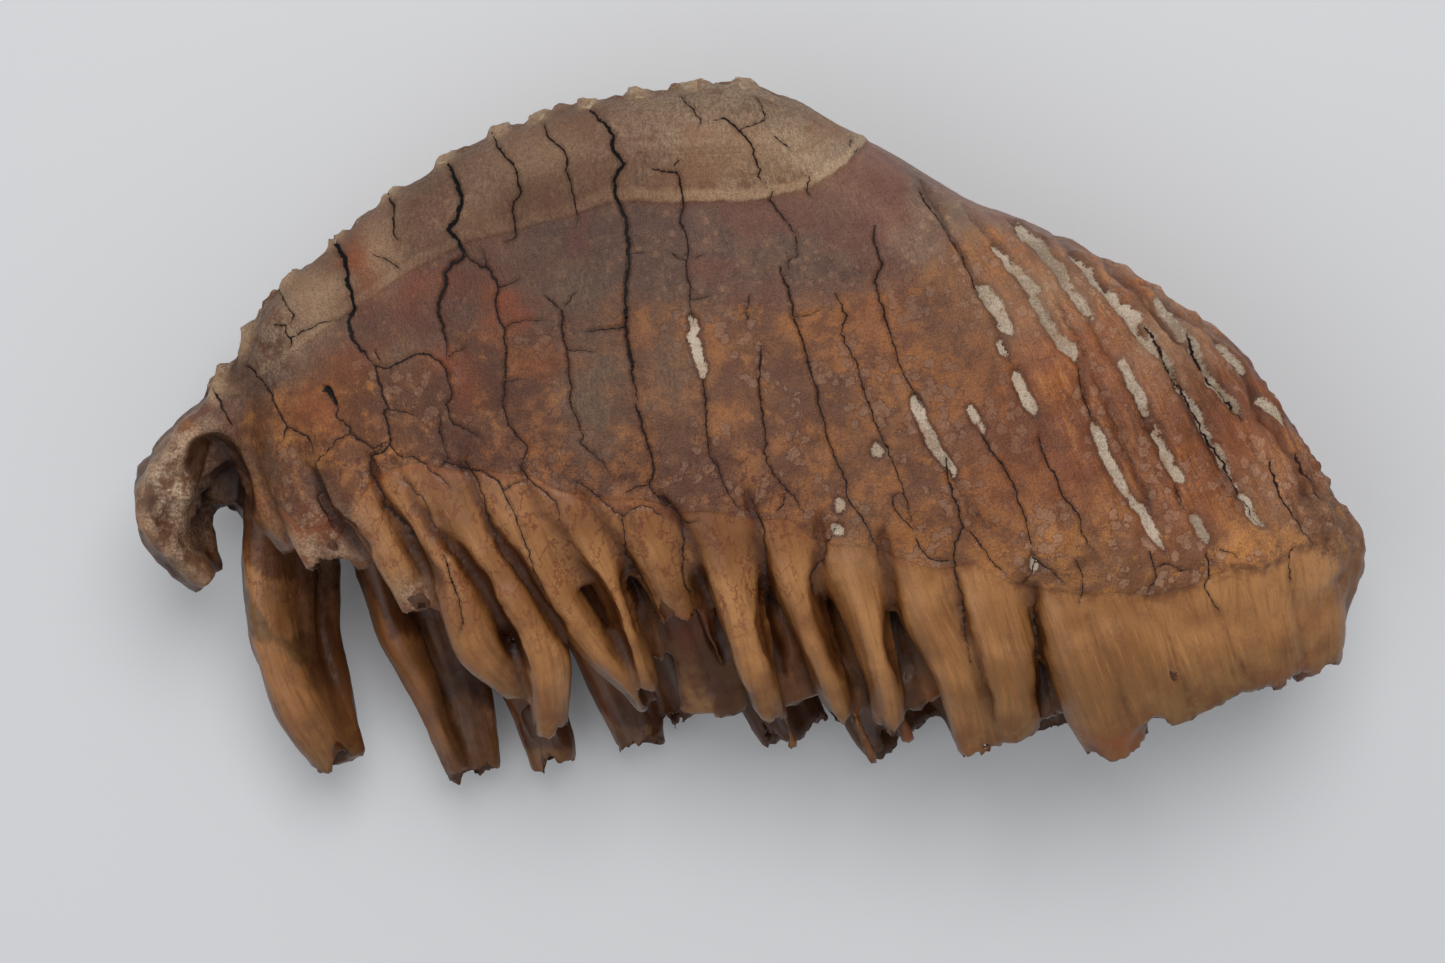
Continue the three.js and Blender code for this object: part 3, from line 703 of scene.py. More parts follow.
MIDDLE_CRACKS = [
    (1.1, 1, [(-34, 96), (-32, 93.5), (-29.5, 91.5), (-28, 89.5), (-28.5, 87), (-27.5, 84.5), (-25.5, 82),
        (-27.5, 79), (-27.8, 76), (-26.8, 72), (-25, 68), (-24.5, 63), (-24.2, 58), (-24.8, 52), (-25.2, 46),
        (-25, 40), (-24, 33), (-23, 27), (-22.3, 20)]),
    (0.9, 0.4, [(-22.3, 20), (-20.5, 13), (-18.3, 6), (-17.8, 3), (-19, -0.5), (-18, -3), (-15, -6.5)]),
    (0.64, 0.32, [(-16.5, -4), (-14, -6), (-11.5, -9), (-10.8, -12), (-10.3, -17), (-10, -22), (-9, -27),
        (-7, -32)]),
    (0.64, 0.4, [(-25, 40), (-29, 39.5), (-33, 39), (-36, 38.5)]),
    (0.32, 0.24, [(-24, 59), (-22, 59), (-20, 58.8)]),
    (0.4, 0.4, [(-12.5, 81.5), (-11, 83)]),
    (0.72, 0.48, [(-18, 80.5), (-12, 80), (-11, 78), (-10.3, 74), (-10, 71), (-10.8, 69), (-11, 67),
        (-9.5, 64), (-8.7, 60), (-9.3, 57), (-9, 53), (-8.3, 49), (-8, 43), (-7.8, 40.5)]),
    (0.4, 0.32, [(-13, 59), (-11, 57.5), (-9.3, 57)]),
    (0.32, 0.24, [(-7, 57.5), (-5, 58.5), (-4.5, 59)]),
    (0.32, 0.24, [(-8, 47), (-5, 47.5), (-3, 47.8)]),
    (0.72, 0.4, [(-5, 26), (-4.5, 20), (-4, 12), (-3, 6), (-1, 3), (0, 0), (2, -4), (5, -8)]),
    (0.48, 0.4, [(-10.5, 99), (-9, 97), (-7, 94.5), (-5.5, 93), (-6, 91.5)]),
    (0.64, 0.48, [(-2, 93), (0, 93.8), (2, 92.5), (4.3, 90.3), (6.5, 88), (8, 85.5), (8.5, 83), (10, 80.5),
        (9, 79), (10.5, 77)]),
    (0.4, 0.32, [(4.3, 90.3), (7, 91.5), (10, 92.5), (11, 93), (11.3, 95)]),
    (0.4, 0.32, [(8.5, 99), (10, 96.5), (11, 93.5)]),
    (0.4, 0.32, [(13, 89), (15, 87.5), (17.5, 85.5)]),
    (0.56, 0.4, [(13, 75), (12, 72.5), (14, 70), (16.5, 67), (19, 64), (19.3, 61), (19.5, 58.5), (17, 57),
        (16.5, 53.5)]),
    (0.72, 0.4, [(15, 55.5), (16, 51.5), (17.5, 47), (18.3, 43), (20, 38), (22, 32), (24, 25), (25.5, 18),
        (27.5, 10), (30, 4), (32, 0), (32.3, -4), (35, -8), (37.5, -12), (40, -17), (41, -22)]),
    (0.4, 0.24, [(18.3, 42.5), (22, 43), (25.5, 44.5)]),
    (0.4, 0.32, [(22.3, 79), (22, 77), (21.8, 75), (23, 73.5)]),
    (0.4, 0.32, [(33, 88), (32.8, 86)]),
    (0.32, 0.32, [(35, 86), (33.5, 84.5)]),
    (0.4, 0.32, [(7, 48), (6.5, 45), (6, 41)]),
    (0.56, 0.4, [(29, 49), (31, 45.5), (32.3, 43), (31, 40.5), (30.5, 38), (35, 30), (37, 22), (41, 12),
        (43.5, 6), (46.5, -1), (48.2, -8), (50.5, -13)]),
    (0.64, 0.4, [(10, 35), (9.5, 25), (11, 12), (11.5, 5), (13, 2), (16, -1.5), (18.5, -4), (20, -7),
        (22.5, -9)]),
    (0.4, 0.32, [(16, -3), (16, -6), (14, -8)]),
    (0.48, 0.32, [(9, -9), (11, -13), (10.5, -18), (11, -25), (10, -29)]),
    (0.4, 0.32, [(26.5, -16), (28.5, -14), (29.5, -12)]),
    (0.48, 0.32, [(26.5, -16), (26, -20), (23.5, -25), (25.5, -30)]),
    (0.48, 0.4, [(44, -4), (45, -8), (48, -11), (49.5, -13)]),
    (0.4, 0.32, [(44, -4), (47, -3)]),
    (0.56, 0.32, [(50, -15), (52.5, -19), (55, -20.5), (59.5, -20.5)]),
    (0.48, 0.32, [(-38, 0), (-34, -2.5), (-30, -6), (-26, -9.5), (-25.5, -14), (-25.5, -20), (-23, -25),
        (-21, -31)]),
    (0.4, 0.32, [(-26, -9.5), (-24, -7.5), (-21, -6.3), (-18, -7), (-15, -10)]),
    (0.4, 0.24, [(-25, -3), (-22, -1.5), (-19, -1)]),
    (0.4, 0.24, [(-10.5, -11), (-6, -10.2)]),
]
RIGHT_CRACKS = [
    (0.72, 0.48, [(39.3, 66), (39, 63), (40, 60), (41.3, 56), (40, 53), (39.3, 51.5), (40.5, 48), (42, 44),
        (42.5, 41), (44, 36), (46, 30), (49, 24), (52, 19)]),
    (0.72, 0.4, [(58, 6), (58.3, 0), (60.5, -6), (62.3, -12), (60, -16), (59.7, -20), (60.5, -27), (62, -36),
        (64, -46)]),
    (0.64, 0.48, [(51, 75), (54, 70), (57, 66), (61, 60), (62.5, 57), (65, 50), (68, 46)]),
    (0.64, 0.4, [(67, 12), (70, 7), (73, 3), (75, 0), (76, -4), (78, -9), (79, -14), (80, -19)]),
    (0.48, 0.32, [(64, -13), (67, -17), (70, -21), (73, -24)]),
    (0.64, 0.4, [(81.5, 12), (82.5, 8), (84, 4), (86, 1), (88, -4), (90.5, -7), (92.5, -10), (92.5, -13),
        (95, -17), (96.5, -18.5)]),
    (0.48, 0.32, [(91, -20), (93, -24), (93, -29), (92, -32)]),
    (0.56, 0.4, [(92, 29), (93, 23), (94.5, 18), (96, 15)]),
    (0.48, 0.32, [(110, -18), (111, -21), (112, -25), (110, -28), (109.5, -30)]),
    (0.4, 0.32, [(112, -22), (115, -21), (118, -23), (121, -22.5)]),
    (0.48, 0.32, [(117, -1), (118, -6), (119.5, -8)]),
    (0.56, 0.32, [(124.5, -18), (125.5, -22), (126, -25), (124.5, -27), (126, -30), (129, -35)]),
    (0.4, 0.32, [(128, -17.5), (131, -18.5), (133, -20)]),
    (0.7, 0.47, [(109, 40), (111, 36), (114, 31), (117, 26), (121, 20), (124, 15), (126, 11), (129, 6),
        (131, 1), (133, -3), (136, -7), (139, -11.5)]),
    (0.78, 0.55, [(120, 38), (122, 33), (124, 29), (127, 25), (130, 22), (132, 19), (134, 16)]),
    (0.7, 0.39, [(141, 5), (142, 0), (144, -5), (146.5, -9), (150, -14), (152, -16)]),
    (0.64, 0.4, [(151, 12), (153, 7), (155.5, 3)]),
    (0.64, 0.4, [(148, 7), (150, 2), (153, -1), (154, -5)]),
    (0.48, 0.32, [(147, -17), (146, -22), (147, -26)]),
    (0.4, 0.32, [(80.5, -30), (80, -34), (81, -38), (80.5, -42), (82, -50)]),
    (0.48, 0.32, [(80, -19.5), (82, -21), (84, -22), (86, -24), (88.5, -26.5)]),
    (0.4, 0.32, [(81, -20), (79.5, -24), (77, -27)]),
]
LEFT_ROOT_CRACKS = [
    (0.48, 0.32, [(-86, 10), (-84, 7), (-80, 6.5), (-74, 2), (-71.5, 0), (-70, -2)]),
    (0.56, 0.32, [(-73, 17), (-73, 14), (-72, 9), (-71, 6), (-74, 2.5)]),
    (0.56, 0.32, [(-72, 5.5), (-66, 3), (-62, 2.5), (-58, 0), (-56, -4), (-53, -10), (-50.5, -17), (-49, -22),
        (-47, -27), (-44, -33)]),
    (0.48, 0.24, [(-66, 4), (-63, -1), (-61.5, -6), (-60, -12), (-57, -18), (-53, -24), (-49, -29)]),
    (0.4, 0.24, [(-56, -2), (-54, -0.5), (-51, 0)]),
    (0.32, 0.24, [(-82, 0), (-77, -5), (-75, -11), (-70, -17), (-67, -21)]),
    (0.48, 0.32, [(-72, -19), (-71, -22), (-69, -28), (-67.5, -33), (-67, -37), (-68, -40)]),
]
CRACKS = FRONT_CRACKS + LEFT_CRACKS + MIDDLE_CRACKS + RIGHT_CRACKS + LEFT_ROOT_CRACKS


def ragged(line, rng, step=1.3, size=0.2):
    """Cuts a line into short steps and moves the cuts a little to the side."""
    line = np.array(line, float)
    out = [line[0]]
    for a, b in zip(line, line[1:]):
        pieces = max(1, round(np.linalg.norm(b - a) / step))
        side = np.array([a[1] - b[1], b[0] - a[0]]) / max(np.linalg.norm(b - a), 1e-6)
        for k in range(1, pieces):
            out.append(a + (b - a) * (k + rng.uniform(-0.3, 0.3)) / pieces + side * rng.normal(0, size))
        out.append(b)
    return np.array(out)


rng = np.random.default_rng(11)
crack_lines = [(start / 2, end / 2, ragged(line, rng)) for start, end, line in CRACKS]
print(len(crack_lines), "cracks,", sum(len(line) for _, _, line in crack_lines), "places")

# %% [markdown]
# ## Cement
#
# Grey cement glued the plates together, and strips of it are still there, mostly at the back where the
# grooves between the plates were never worn. A strip is a half width and places along it.

# %% Cement strips
CEMENT_STRIPS = [
    (1.4, [(-8, 42), (-7, 36), (-5, 27)]),
    (1.4, [(39.5, 9.5), (40, 8), (40.5, 6.5)]),
    (1.4, [(49.5, 21.5), (51, 17), (54, 11), (57, 6), (60, 1.5)]),
    (0.86, [(64, 19.5), (66, 16), (67.5, 12.5)]),
    (1.7, [(66, 50), (70, 46), (73, 42), (74.5, 38)]),
    (0.72, [(71.5, 36), (73.5, 32)]),
    (1.2, [(76, 28), (78, 22), (81, 17)]),
    (1.4, [(80, 48), (82, 45), (85, 40), (88, 35), (91, 31)]),
    (1.4, [(95.5, 15), (98, 9), (101, 3), (106, -5), (110, -11), (114, -18)]),
    (1.2, [(103.5, 32), (105, 27), (108, 22), (110, 17)]),
    (1.3, [(112, 14), (114, 8), (116, 3), (119, 0)]),
    (1.4, [(121, -9), (123, -12), (125, -16)]),
    (0.94, [(134, -4), (136, -8), (139, -11)]),
    (1.6, [(30, -5), (31, -8)]),
    (1.4, [(29, -12), (31, -13.5)]),
    (0.94, [(80, -19), (80.5, -23)]),
    (0.72, [(109, 40), (111, 36), (114, 31), (117, 26), (121, 20), (124, 15), (126, 11), (129, 6), (131, 1),
        (133, -3)]),
    (1.2, [(120, 38), (122, 33), (124, 29), (127, 25), (130, 22), (132, 19), (134, 16)]),
    (1.4, [(76, 66), (80, 62), (84, 58), (88, 53), (92, 47), (96, 42)]),
    (1.2, [(90, 58), (95, 54), (98, 50), (102, 46), (106, 41), (110, 35), (114, 30)]),
    (1.3, [(100, 50), (104, 45), (108, 41)]),
    (1.4, [(112, 46), (115, 43), (118, 39), (121, 36)]),
    (0.72, [(128, 36), (131, 32), (135, 28)]),
    (0.86, [(139, 22), (142, 18), (145, 14)]),
    (0.72, [(146, 20), (150, 15), (153, 10), (157, 4)]),
    (1, [(70, 60), (73, 57), (78, 52), (82, 47)]),
]
cement_lines = [(half, half, ragged(line, rng, 2.0, 0.35)) for half, line in CEMENT_STRIPS]


def nearest_line(places, lines, reach):
    """For each place: the way to the nearest line, that line's half width there, and the distance."""
    way = np.full((len(places), 2), float(reach))
    half = np.zeros(len(places))
    best = np.full(len(places), float(reach))
    for start, end, line in lines:
        low, high = line.min(0) - reach, line.max(0) + reach
        close = np.flatnonzero(((places > low) & (places < high)).all(1))
        if not len(close):
            continue
        run = np.concatenate([[0], np.cumsum(np.linalg.norm(np.diff(line, axis=0), axis=1))])
        for i, (a, b) in enumerate(zip(line, line[1:])):
            offset = places[close] - a
            share = np.clip(offset @ (b - a) / max((b - a) @ (b - a), 1e-9), 0, 1)
            gap = share[:, None] * (b - a) - offset
            distance = np.hypot(gap[:, 0], gap[:, 1])
            along = (run[i] + share * (run[i + 1] - run[i])) / run[-1]
            # Both ends of a crack close to a point.
            pointed = np.clip(np.minimum(along + 0.12, 1.05 - along) * 5, 0.2, 1)
            width = between(start, end, along) * pointed
            nearer = distance - width < best[close]
            rows = close[nearer]
            best[rows] = (distance - width)[nearer]
            way[rows] = gap[nearer]
            half[rows] = width[nearer]
    return way, half, best + half


# %% [markdown]
# ## Fine where it is looked at
#
# The camera looks straight down. So the skin gets edges of about a millimetre on its upper side, finer ones
# beside each crack, and long ones underneath. Corners that fall beside a crack are moved onto it, so that a
# groove has a clean bottom.

# %% Make the skin fine beside the cracks
CRACK_EDGE, UPPER_EDGE, SIDE_EDGE, LOWER_EDGE = 0.62, 1.55, 2.4, 3.3
READ_FROM = 46.0  # below this height nothing could be read from the photo
SNAP = 0.24  # corners closer than this to a crack are moved onto it


def wanted_length(net):
    normal = corner_normals(net)
    seen = seen_from_above(net.corners)
    upper = ramp(normal[:, 2], 0.05, 0.35) * (0.35 + 0.65 * ramp(net.corners[:, 2], 40, READ_FROM))
    length = SIDE_EDGE + (UPPER_EDGE - SIDE_EDGE) * upper
    length += (LOWER_EDGE - SIDE_EDGE) * ramp(-normal[:, 2], -0.05, 0.3)
    _, half, distance = nearest_line(seen, crack_lines, 4)
    beside_crack = CRACK_EDGE + np.maximum(distance - half - 0.4, 0) * 0.5
    cracked = (net.corners[:, 2] > READ_FROM) & (normal[:, 2] > 0)
    return np.where(cracked, np.minimum(length, beside_crack), length)


skin = relaxed(Net(onto_field(skin.corners), skin.triangles), 3)
skin = finer(skin, wanted_length, 6)
print("made finer:", len(skin.triangles), "triangles")
seen = seen_from_above(skin.corners)
way, half, distance = nearest_line(seen, crack_lines, 4)
normal = corner_normals(skin)
held = (distance < SNAP) & (skin.corners[:, 2] > READ_FROM) & (normal[:, 2] > 0.25)
share = (EYE_HEIGHT - skin.corners[held, 2]) / (EYE_HEIGHT - MID_HEIGHT)
skin.corners[held, :2] += way[held] * share[:, None]
skin.corners[held] = onto_field(skin.corners[held], 2)
skin = relaxed(skin, 2, held)
print(held.sum(), "corners on cracks;", round(time.time() - started), "s")

# %% [markdown]
# ## Relief
#
# Now the corners move a little along the skin's own direction: valleys between the roots, grooves at the
# cracks, strips of sunken cement, the worn cap that stands a little proud of the band below it, and lumps
# of several sizes. The lumps come from a block of seeded random numbers with smooth values between them.

# %% Valleys between the roots on the upper side, as half widths and places
VALLEYS = [
    (2.0, 3.0, [(-107.4, 4.4), (-104, -1.3), (-101.8, -7), (-97.2, -12.7), (-92.7, -18.3), (-91, -21.7)]),
    (2.0, 4.0, [(-91, 6.7), (-89.3, -1.3), (-84.7, -9.2), (-80.2, -17.2), (-74.5, -24), (-71.6, -29.7)]),
    (1.8, 4.5, [(-84.7, 6.7), (-80.2, -4.7), (-74.5, -13.7), (-68, -18.5), (-61.1, -27.6), (-56.3, -37.3),
                (-50.1, -48.3)]),
    (1.8, 4.0, [(-68, 8), (-64, -3), (-60, -12), (-53.5, -19.4), (-48, -27.6), (-43.2, -35.9),
                (-39.1, -45.5)]),
    (1.6, 3.6, [(-52, 3), (-48, -6), (-43, -12), (-37.7, -18), (-30.2, -30.4), (-28.2, -38.7), (-24, -48.3)]),
    (1.6, 4.0, [(-37, -2), (-31, -10), (-27, -17), (-24, -23.5), (-20.5, -33), (-17.8, -42.8)]),
    (2.0, 4.0, [(-16, -3), (-11, -11), (-7, -18), (-5.4, -26.3), (-3.4, -34.5), (0.8, -46.9)]),
    (2.4, 4.5, [(6, -2), (8.8, -11.1), (10.6, -21.4), (12.1, -39.2), (15.8, -50.6)]),
    (2.4, 4.5, [(25, -8), (25.3, -17.6), (24.7, -28.9), (27.2, -39.2), (31, -50.6)]),
    (2.4, 4.5, [(41, -12), (42.5, -21.4), (43.8, -31.5), (44.4, -41.8), (46.4, -51.9)]),
    (2.0, 3.0, [(60.4, -23.9), (62.9, -35.4), (66.7, -48), (69.9, -60.9)]),
    (2.4, 3.6, [(80.8, -26), (80.8, -35.4), (82.6, -48), (82, -60.9)]),
    (1.2, 1.6, [(93.5, -34.1), (101.1, -48), (104.9, -60.9)]),
    (1.0, 1.4, [(110, -32), (117, -44), (121, -58)]),
    (1.2, 1.6, [(126.6, -31.5), (133, -45.5), (138, -53.2)]),
    (1.2, 1.6, [(145.7, -22.6), (148.2, -35.4), (150.8, -48)]),
    # grooves between the unworn plates at the back
    (1.2, 1.8, [(51.1, 77.7), (59.7, 62.2), (68.4, 48.5), (72.7, 36.4), (77, 26.1), (78.7, 15.8)]),
    (1.2, 1.8, [(61.5, 70.8), (71.8, 58.8), (80.4, 46.7), (87.3, 36.4), (92.5, 29.5), (94.2, 19.2)]),
    (1.4, 2.0, [(73.5, 67.4), (82.1, 58.8), (90.7, 48.5), (95.9, 39.9), (101.1, 31.3), (106.2, 22.6),
                (111.4, 12.3), (116.6, 2), (118.3, -8.3)]),
    (1.4, 2.4, [(85.6, 64), (95.9, 53.6), (104.5, 43.3), (111.4, 33), (118.3, 22.6), (125.2, 10.6),
                (130.3, -1.5), (133.8, -11.8)]),
    (1.4, 2.2, [(95.9, 58.8), (106.2, 50.2), (113.1, 41.6), (121.7, 33), (130.3, 22.6), (133.8, 15.8)]),
    (1.4, 2.2, [(108, 50.2), (118.3, 43.3), (126.9, 36.4), (135.5, 26.1), (140.7, 15.8), (147.6, 5.4),
                (152.7, -4.9)]),
    (1.2, 1.8, [(121.7, 41.6), (132, 34.7), (140.7, 26.1), (147.5, 15.8), (154.4, 5.4), (157, -3.2)]),
    (1.0, 1.8, [(49.5, 24), (54, 11), (60, 1), (66, -8), (72, -18)]),
    (1.0, 1.8, [(86, 46), (92, 36), (98, 24), (104, 10), (110, -4), (115, -16)]),
]
valley_lines = [(start, end, ragged(line, rng, 3.0, 0.3)) for start, end, line in VALLEYS]

# %% [markdown]
# ## Zones
#
# Three lines part the tooth into zones: the growth line under the worn cap, the lower edge of the purple
# band, and the line where the roots begin. Each is a row of places, read from left to right.

# %% Lines between zones, and helpers that measure from them
GROWTH_LINE = [
    (-125, 22), (-115, 30), (-96, 44), (-80, 54), (-66, 61), (-50, 66), (-30, 72), (-10, 72), (10, 72.5),
    (22, 76), (32, 82), (38, 90), (44, 100), (170, 110),
]
BAND_LINE = [
    (-130, 14), (-110, 24), (-88, 34), (-70, 40), (-56, 42), (-20, 44), (10, 47), (35, 48.5), (51, 52),
    (61.5, 62), (72, 66), (85, 63), (100, 58), (120, 50), (170, 30),
]
ROOT_LINE = [
    (-140, 20), (-128, 6), (-118, -4), (-108, -14), (-98, -12), (-90, 2), (-80, 5), (-60, 3), (-40, -2),
    (-20, -6), (-5, -8), (10, -11), (30, -16), (45, -19), (60, -22), (75, -26), (90, -28), (110, -29),
    (130, -23), (150, -19), (170, -16),
]
ROOT_LINE, GROWTH_LINE, BAND_LINE = (np.array(line, float) for line in (ROOT_LINE, GROWTH_LINE, BAND_LINE))
# Where the plates' pockets show on the chewing edge, as x.
POCKETS = [-127.5, -120, -108.7, -95.5, -82.2, -68.8, -55.5, -45.9, -33.5, -21, -7.4, 5]
POCKET_HALF_WIDTH = 2.7
POCKET_PLATES = np.interp(POCKETS, FAN[:, 0] + ORIGIN[0], PLATE_OF_ROW)


def lumps(points, size, seed):
    """Smooth random numbers, mostly from -1 to 1, that change over about this many millimetres."""
    block = np.random.default_rng(seed).normal(0, 0.9, (32, 32, 32))
    where = points / size + 100
    i = np.floor(where).astype(int)
    f = where - i
    f = f * f * (3 - 2 * f)
    total = 0
    for step in np.ndindex(2, 2, 2):
        weight = np.prod(np.where(step, f, 1 - f), axis=1)
        total = total + weight * block[tuple(((i + step) % 32).T)]
    return total


def below(line, places, wobble=0):
    """How many millimetres places lie below a line that is read from left to right."""
    return np.interp(places[:, 0], line[:, 0], line[:, 1]) - places[:, 1] + wobble


def spots(places, rows):
    """Soft ovals, each x, y, half width, half height and strength."""
    total = np.zeros(len(places))
    for x, y, across, up, strength in rows:
        away = ((places[:, 0] - x) / across) ** 2 + ((places[:, 1] - y) / up) ** 2
        total = np.maximum(total, strength * np.exp(-away))
    return total


# %% [markdown]
# Every corner of the skin now learns where it is: on which plate, how high, how far below the root line,
# and how far from the nearest crack, strip of cement or valley. Shares run from 0 to 1, distances are in
# millimetres.

# %% What each corner of the skin is part of
CRUSTS = [(-140, -4, 10, 22, 1.2), (157, 0, 9, 30, 0.9), (-116, 36, 7, 10, 0.5), (-102, -16, 10, 10, 0.7),
          (-80, -30, 5, 5, 0.8)]
NO_CEMENT = 6  # a distance to cement that counts as far
points = skin.corners
normal = corner_normals(skin)
seen = seen_from_above(points)
upper_side = ramp(points[:, 2], READ_FROM - 4, READ_FROM + 8)
plate, height, half_length, _ = plate_and_height(points[:, 0], points[:, 1])
up_the_plate = height * half_length
hops = np.linalg.norm(np.diff((FAN[:, :2] + FAN[:, 2:4]) / 2, axis=0), axis=1)
row_length = np.interp(plate, PLATE_OF_ROW, np.concatenate([[0], np.cumsum(hops)]))
root_depth = below(ROOT_LINE, seen, 1.5 * lumps(points, 9, 1))
in_root = ramp(root_depth, -3.5, 3.5)
above_growth = -below(GROWTH_LINE, seen, 0.8 * lumps(points, 14, 2))
unworn = ramp(plate, CHEWED_PLATES - 0.5, CHEWED_PLATES + 1.5)
chewed = ramp(height, 0.955, 0.985) * (1 - unworn) * (1 - in_root)
above_band = -below(BAND_LINE, seen, 2.5 * lumps(points, 11, 24))
off_pockets = [left_of(p, points[:, 0], points[:, 1])[0] / POCKET_HALF_WIDTH for p in POCKET_PLATES]
pocket = np.max([np.exp(-(off**4)) for off in off_pockets], axis=0)
pocket *= (1 - ramp((1 - height) * half_length, 1.5, 4.5)) * (1 - unworn)
crack_way, crack_half, crack_distance = nearest_line(seen, crack_lines, 5)
cracked = upper_side * ramp(normal[:, 2], -0.1, 0.15)
_, cement_half, cement_distance = nearest_line(seen, cement_lines, NO_CEMENT)
cement_edge = np.where(cement_half > 0, cement_distance - cement_half, NO_CEMENT)
cement_edge += 0.3 * lumps(points, 1.4, 3) + 0.28 * lumps(points, 4, 23)
cement = cracked * (1 - ramp(cement_edge, -0.25, 0.35))
_, valley_half, valley_distance = nearest_line(seen, valley_lines, 8)
valley = cracked * np.clip(1 - (valley_distance / np.maximum(valley_half, 0.1)) ** 2, 0, 1) ** 2
valley *= 1 - 0.45 * in_root * ramp(seen[:, 0], 80, 100)
crust = np.maximum(spots(seen, CRUSTS), 0.8 * chewed)
print("roots", round(in_root.mean(), 2), "cement", round(cement.mean(), 3), "chewed", round(chewed.mean(), 3))

# %% [markdown]
# The grain of a root runs along it, and a crown's grain up its plates. So each corner also learns its place
# round and along the root that it is nearest to.

# %% Roots have a grain of their own
root_way = np.zeros((len(points), 3))
nearest_root = np.full(len(points), 12.0)
for seed, (rows, _) in enumerate(ROOTS):
    line = place(rows)
    reach = line[:, 3:].max() + 6
    low, high = line[:, :3].min(0) - reach, line[:, :3].max(0) + reach
    close = np.flatnonzero(((points > low) & (points < high)).all(1))
    across, deep, along, length, sizes = beside(points[close].astype(np.float32), rows)
    away = oval_distance(across, deep, sizes)
    nearer = away < nearest_root[close]
    around = np.arctan2(across, deep) * sizes.mean(1)
    root_way[close[nearer]] = np.stack([around, along, along - length], 1)[nearer]
    nearest_root[close[nearer]] = away[nearer]
root_grain = lumps(root_way * [1, 1 / 14, 0], 1.1, 4)
tip = in_root * ramp(root_way[:, 2], -22, 0)

# %% [markdown]
# Deep between the near roots it is dusty and in shade, and that shade is painted into the colour. The highest
# cell within a few millimetres tells what stands in front of a corner, and how far the corner is set back
# from it.

# %% How far a place lies behind what is in front of it
NEARBY = 7  # cells to each side
in_front = np.where(tooth_field < 0, AXES[2].astype(np.float32)[None, None, :], 0).max(2)
for axis in range(2):
    in_front = np.max([np.roll(in_front, cells, axis) for cells in range(-NEARBY, NEARBY + 1)], axis=0)
cell_of = ((points[:, :2] - GRID_LOW[:2]) / CELL).round().astype(int)
i, j = np.clip(cell_of, 0, np.array(GRID_SHAPE[:2]) - 1).T
set_back = ramp(in_front[i, j] - points[:, 2], 3.5, 14) * np.maximum(in_root, ramp(-seen[:, 0], 118, 124))
print("set back:", round(set_back.mean(), 2))

# %% [markdown]
# The corners move by sums of lumps, each with its height in millimetres, its size and its seed. The crown
# gets a rough skin and a cap that stands proud, the back gets ridges, the roots get folds that run along
# them.

# %% Move the corners
in_crown = 1 - in_root
worn_cap = ramp(above_growth, -0.6, 0.9) * in_crown
back = ramp(seen[:, 0], 55, 110) * in_crown * upper_side
groove = 1 - ramp(crack_distance, 0.5 * crack_half, crack_half + 0.3)
broad_relief = 0.55 * lumps(points, 26, 5)
relief = broad_relief + 0.22 * lumps(points, 8, 6) + 0.10 * lumps(points, 3, 7)
relief += in_crown * (0.10 * lumps(points, 1.8, 8) + 0.4 * worn_cap)
relief += 0.35 * worn_cap * upper_side * np.exp(-((above_growth - 1.2) / 1.3) ** 2)
relief += 1.5 * pocket - 0.4 * ramp(height, 0.9, 0.97) * (1 - unworn)
relief += back * (0.6 * lumps(points * [1, 0.35, 1], 4.5, 9) + 0.34 * lumps(points, 2.2, 10))
relief += back * 0.5 * lumps(np.stack([row_length, up_the_plate / 6, points[:, 2] / 4], 1), 3.2, 26)
relief += crust * (1.2 * lumps(points, 6, 11) + 0.9 * lumps(points, 2.8, 12))
root_folds = lumps(root_way * [1, 1 / 9, 0], 3.6, 27)
relief += in_root * (0.13 * root_grain + 0.24 * root_folds + 0.35 * lumps(points, 10, 13))
relief += 0.6 * ramp(-root_depth, -0.8, 0.8) * ramp(seen[:, 0], 50, 80) * upper_side
# Cracks, cement and valleys go in.
relief -= cracked * groove * (0.25 + 1.5 * crack_half)
relief -= cement * (0.8 - 0.35 * lumps(points, 1.5, 14))
relief -= valley * (0.42 + 0.25 * in_crown) * valley_half
# The hidden side and the back have plain grooves between their plates, with cement in them.
tops_and_bottoms = np.array(PLATES)[:, :2] + np.array(PLATES)[:, 2:4]
plate_gaps = np.linalg.norm(np.diff(tops_and_bottoms, axis=0), axis=1) / 2
seam = plate + 0.5 + 0.12 * lumps(points, 12, 15)
seam = np.abs(seam - np.round(seam)) * np.interp(plate, np.arange(len(PLATES) - 1) + 0.5, plate_gaps)
hidden_seam = (1 - ramp(seam, 0.6, 1.9)) * ramp(-root_depth, 4, 10) * (1 - upper_side) * (1 - chewed)
relief -= 0.9 * hidden_seam
small_relief = relief - broad_relief
skin.corners = points + normal * relief[:, None]
ROOM = 0.05  # kept between the skin and the frame's box
skin.corners = np.clip(skin.corners, BOX_LOW + [ROOM, ROOM, TABLE_CLEARANCE / 2], BOX_HIGH - ROOM)
print("relief, mm:", relief.min().round(2), "to", relief.max().round(2))

# %% [markdown]
# ## Painted shade and dirt in hollows
#
# Dirt and painted shade go in hollows, and edges are rubbed pale. Blurring the block of inside and outside
# cells tells which is which: beside a flat skin half of the neighbourhood is air, in a hollow less, on an
# edge more.

# %% Hollows and edges
def blurred(values, cells, rounds=3):
    for _ in range(rounds):
        for axis in range(3):
            nothing = np.zeros_like(values.take([0] * cells, axis))
            run = np.cumsum(np.concatenate([nothing, values], axis), axis)
            run = np.concatenate([run, run.take([-1] * cells, axis)], axis)
            size = values.shape[axis]
            ahead, behind = run.take(range(2 * cells, 2 * cells + size), axis), run.take(range(size), axis)
            values = (ahead - behind) / (2 * cells)
    return values


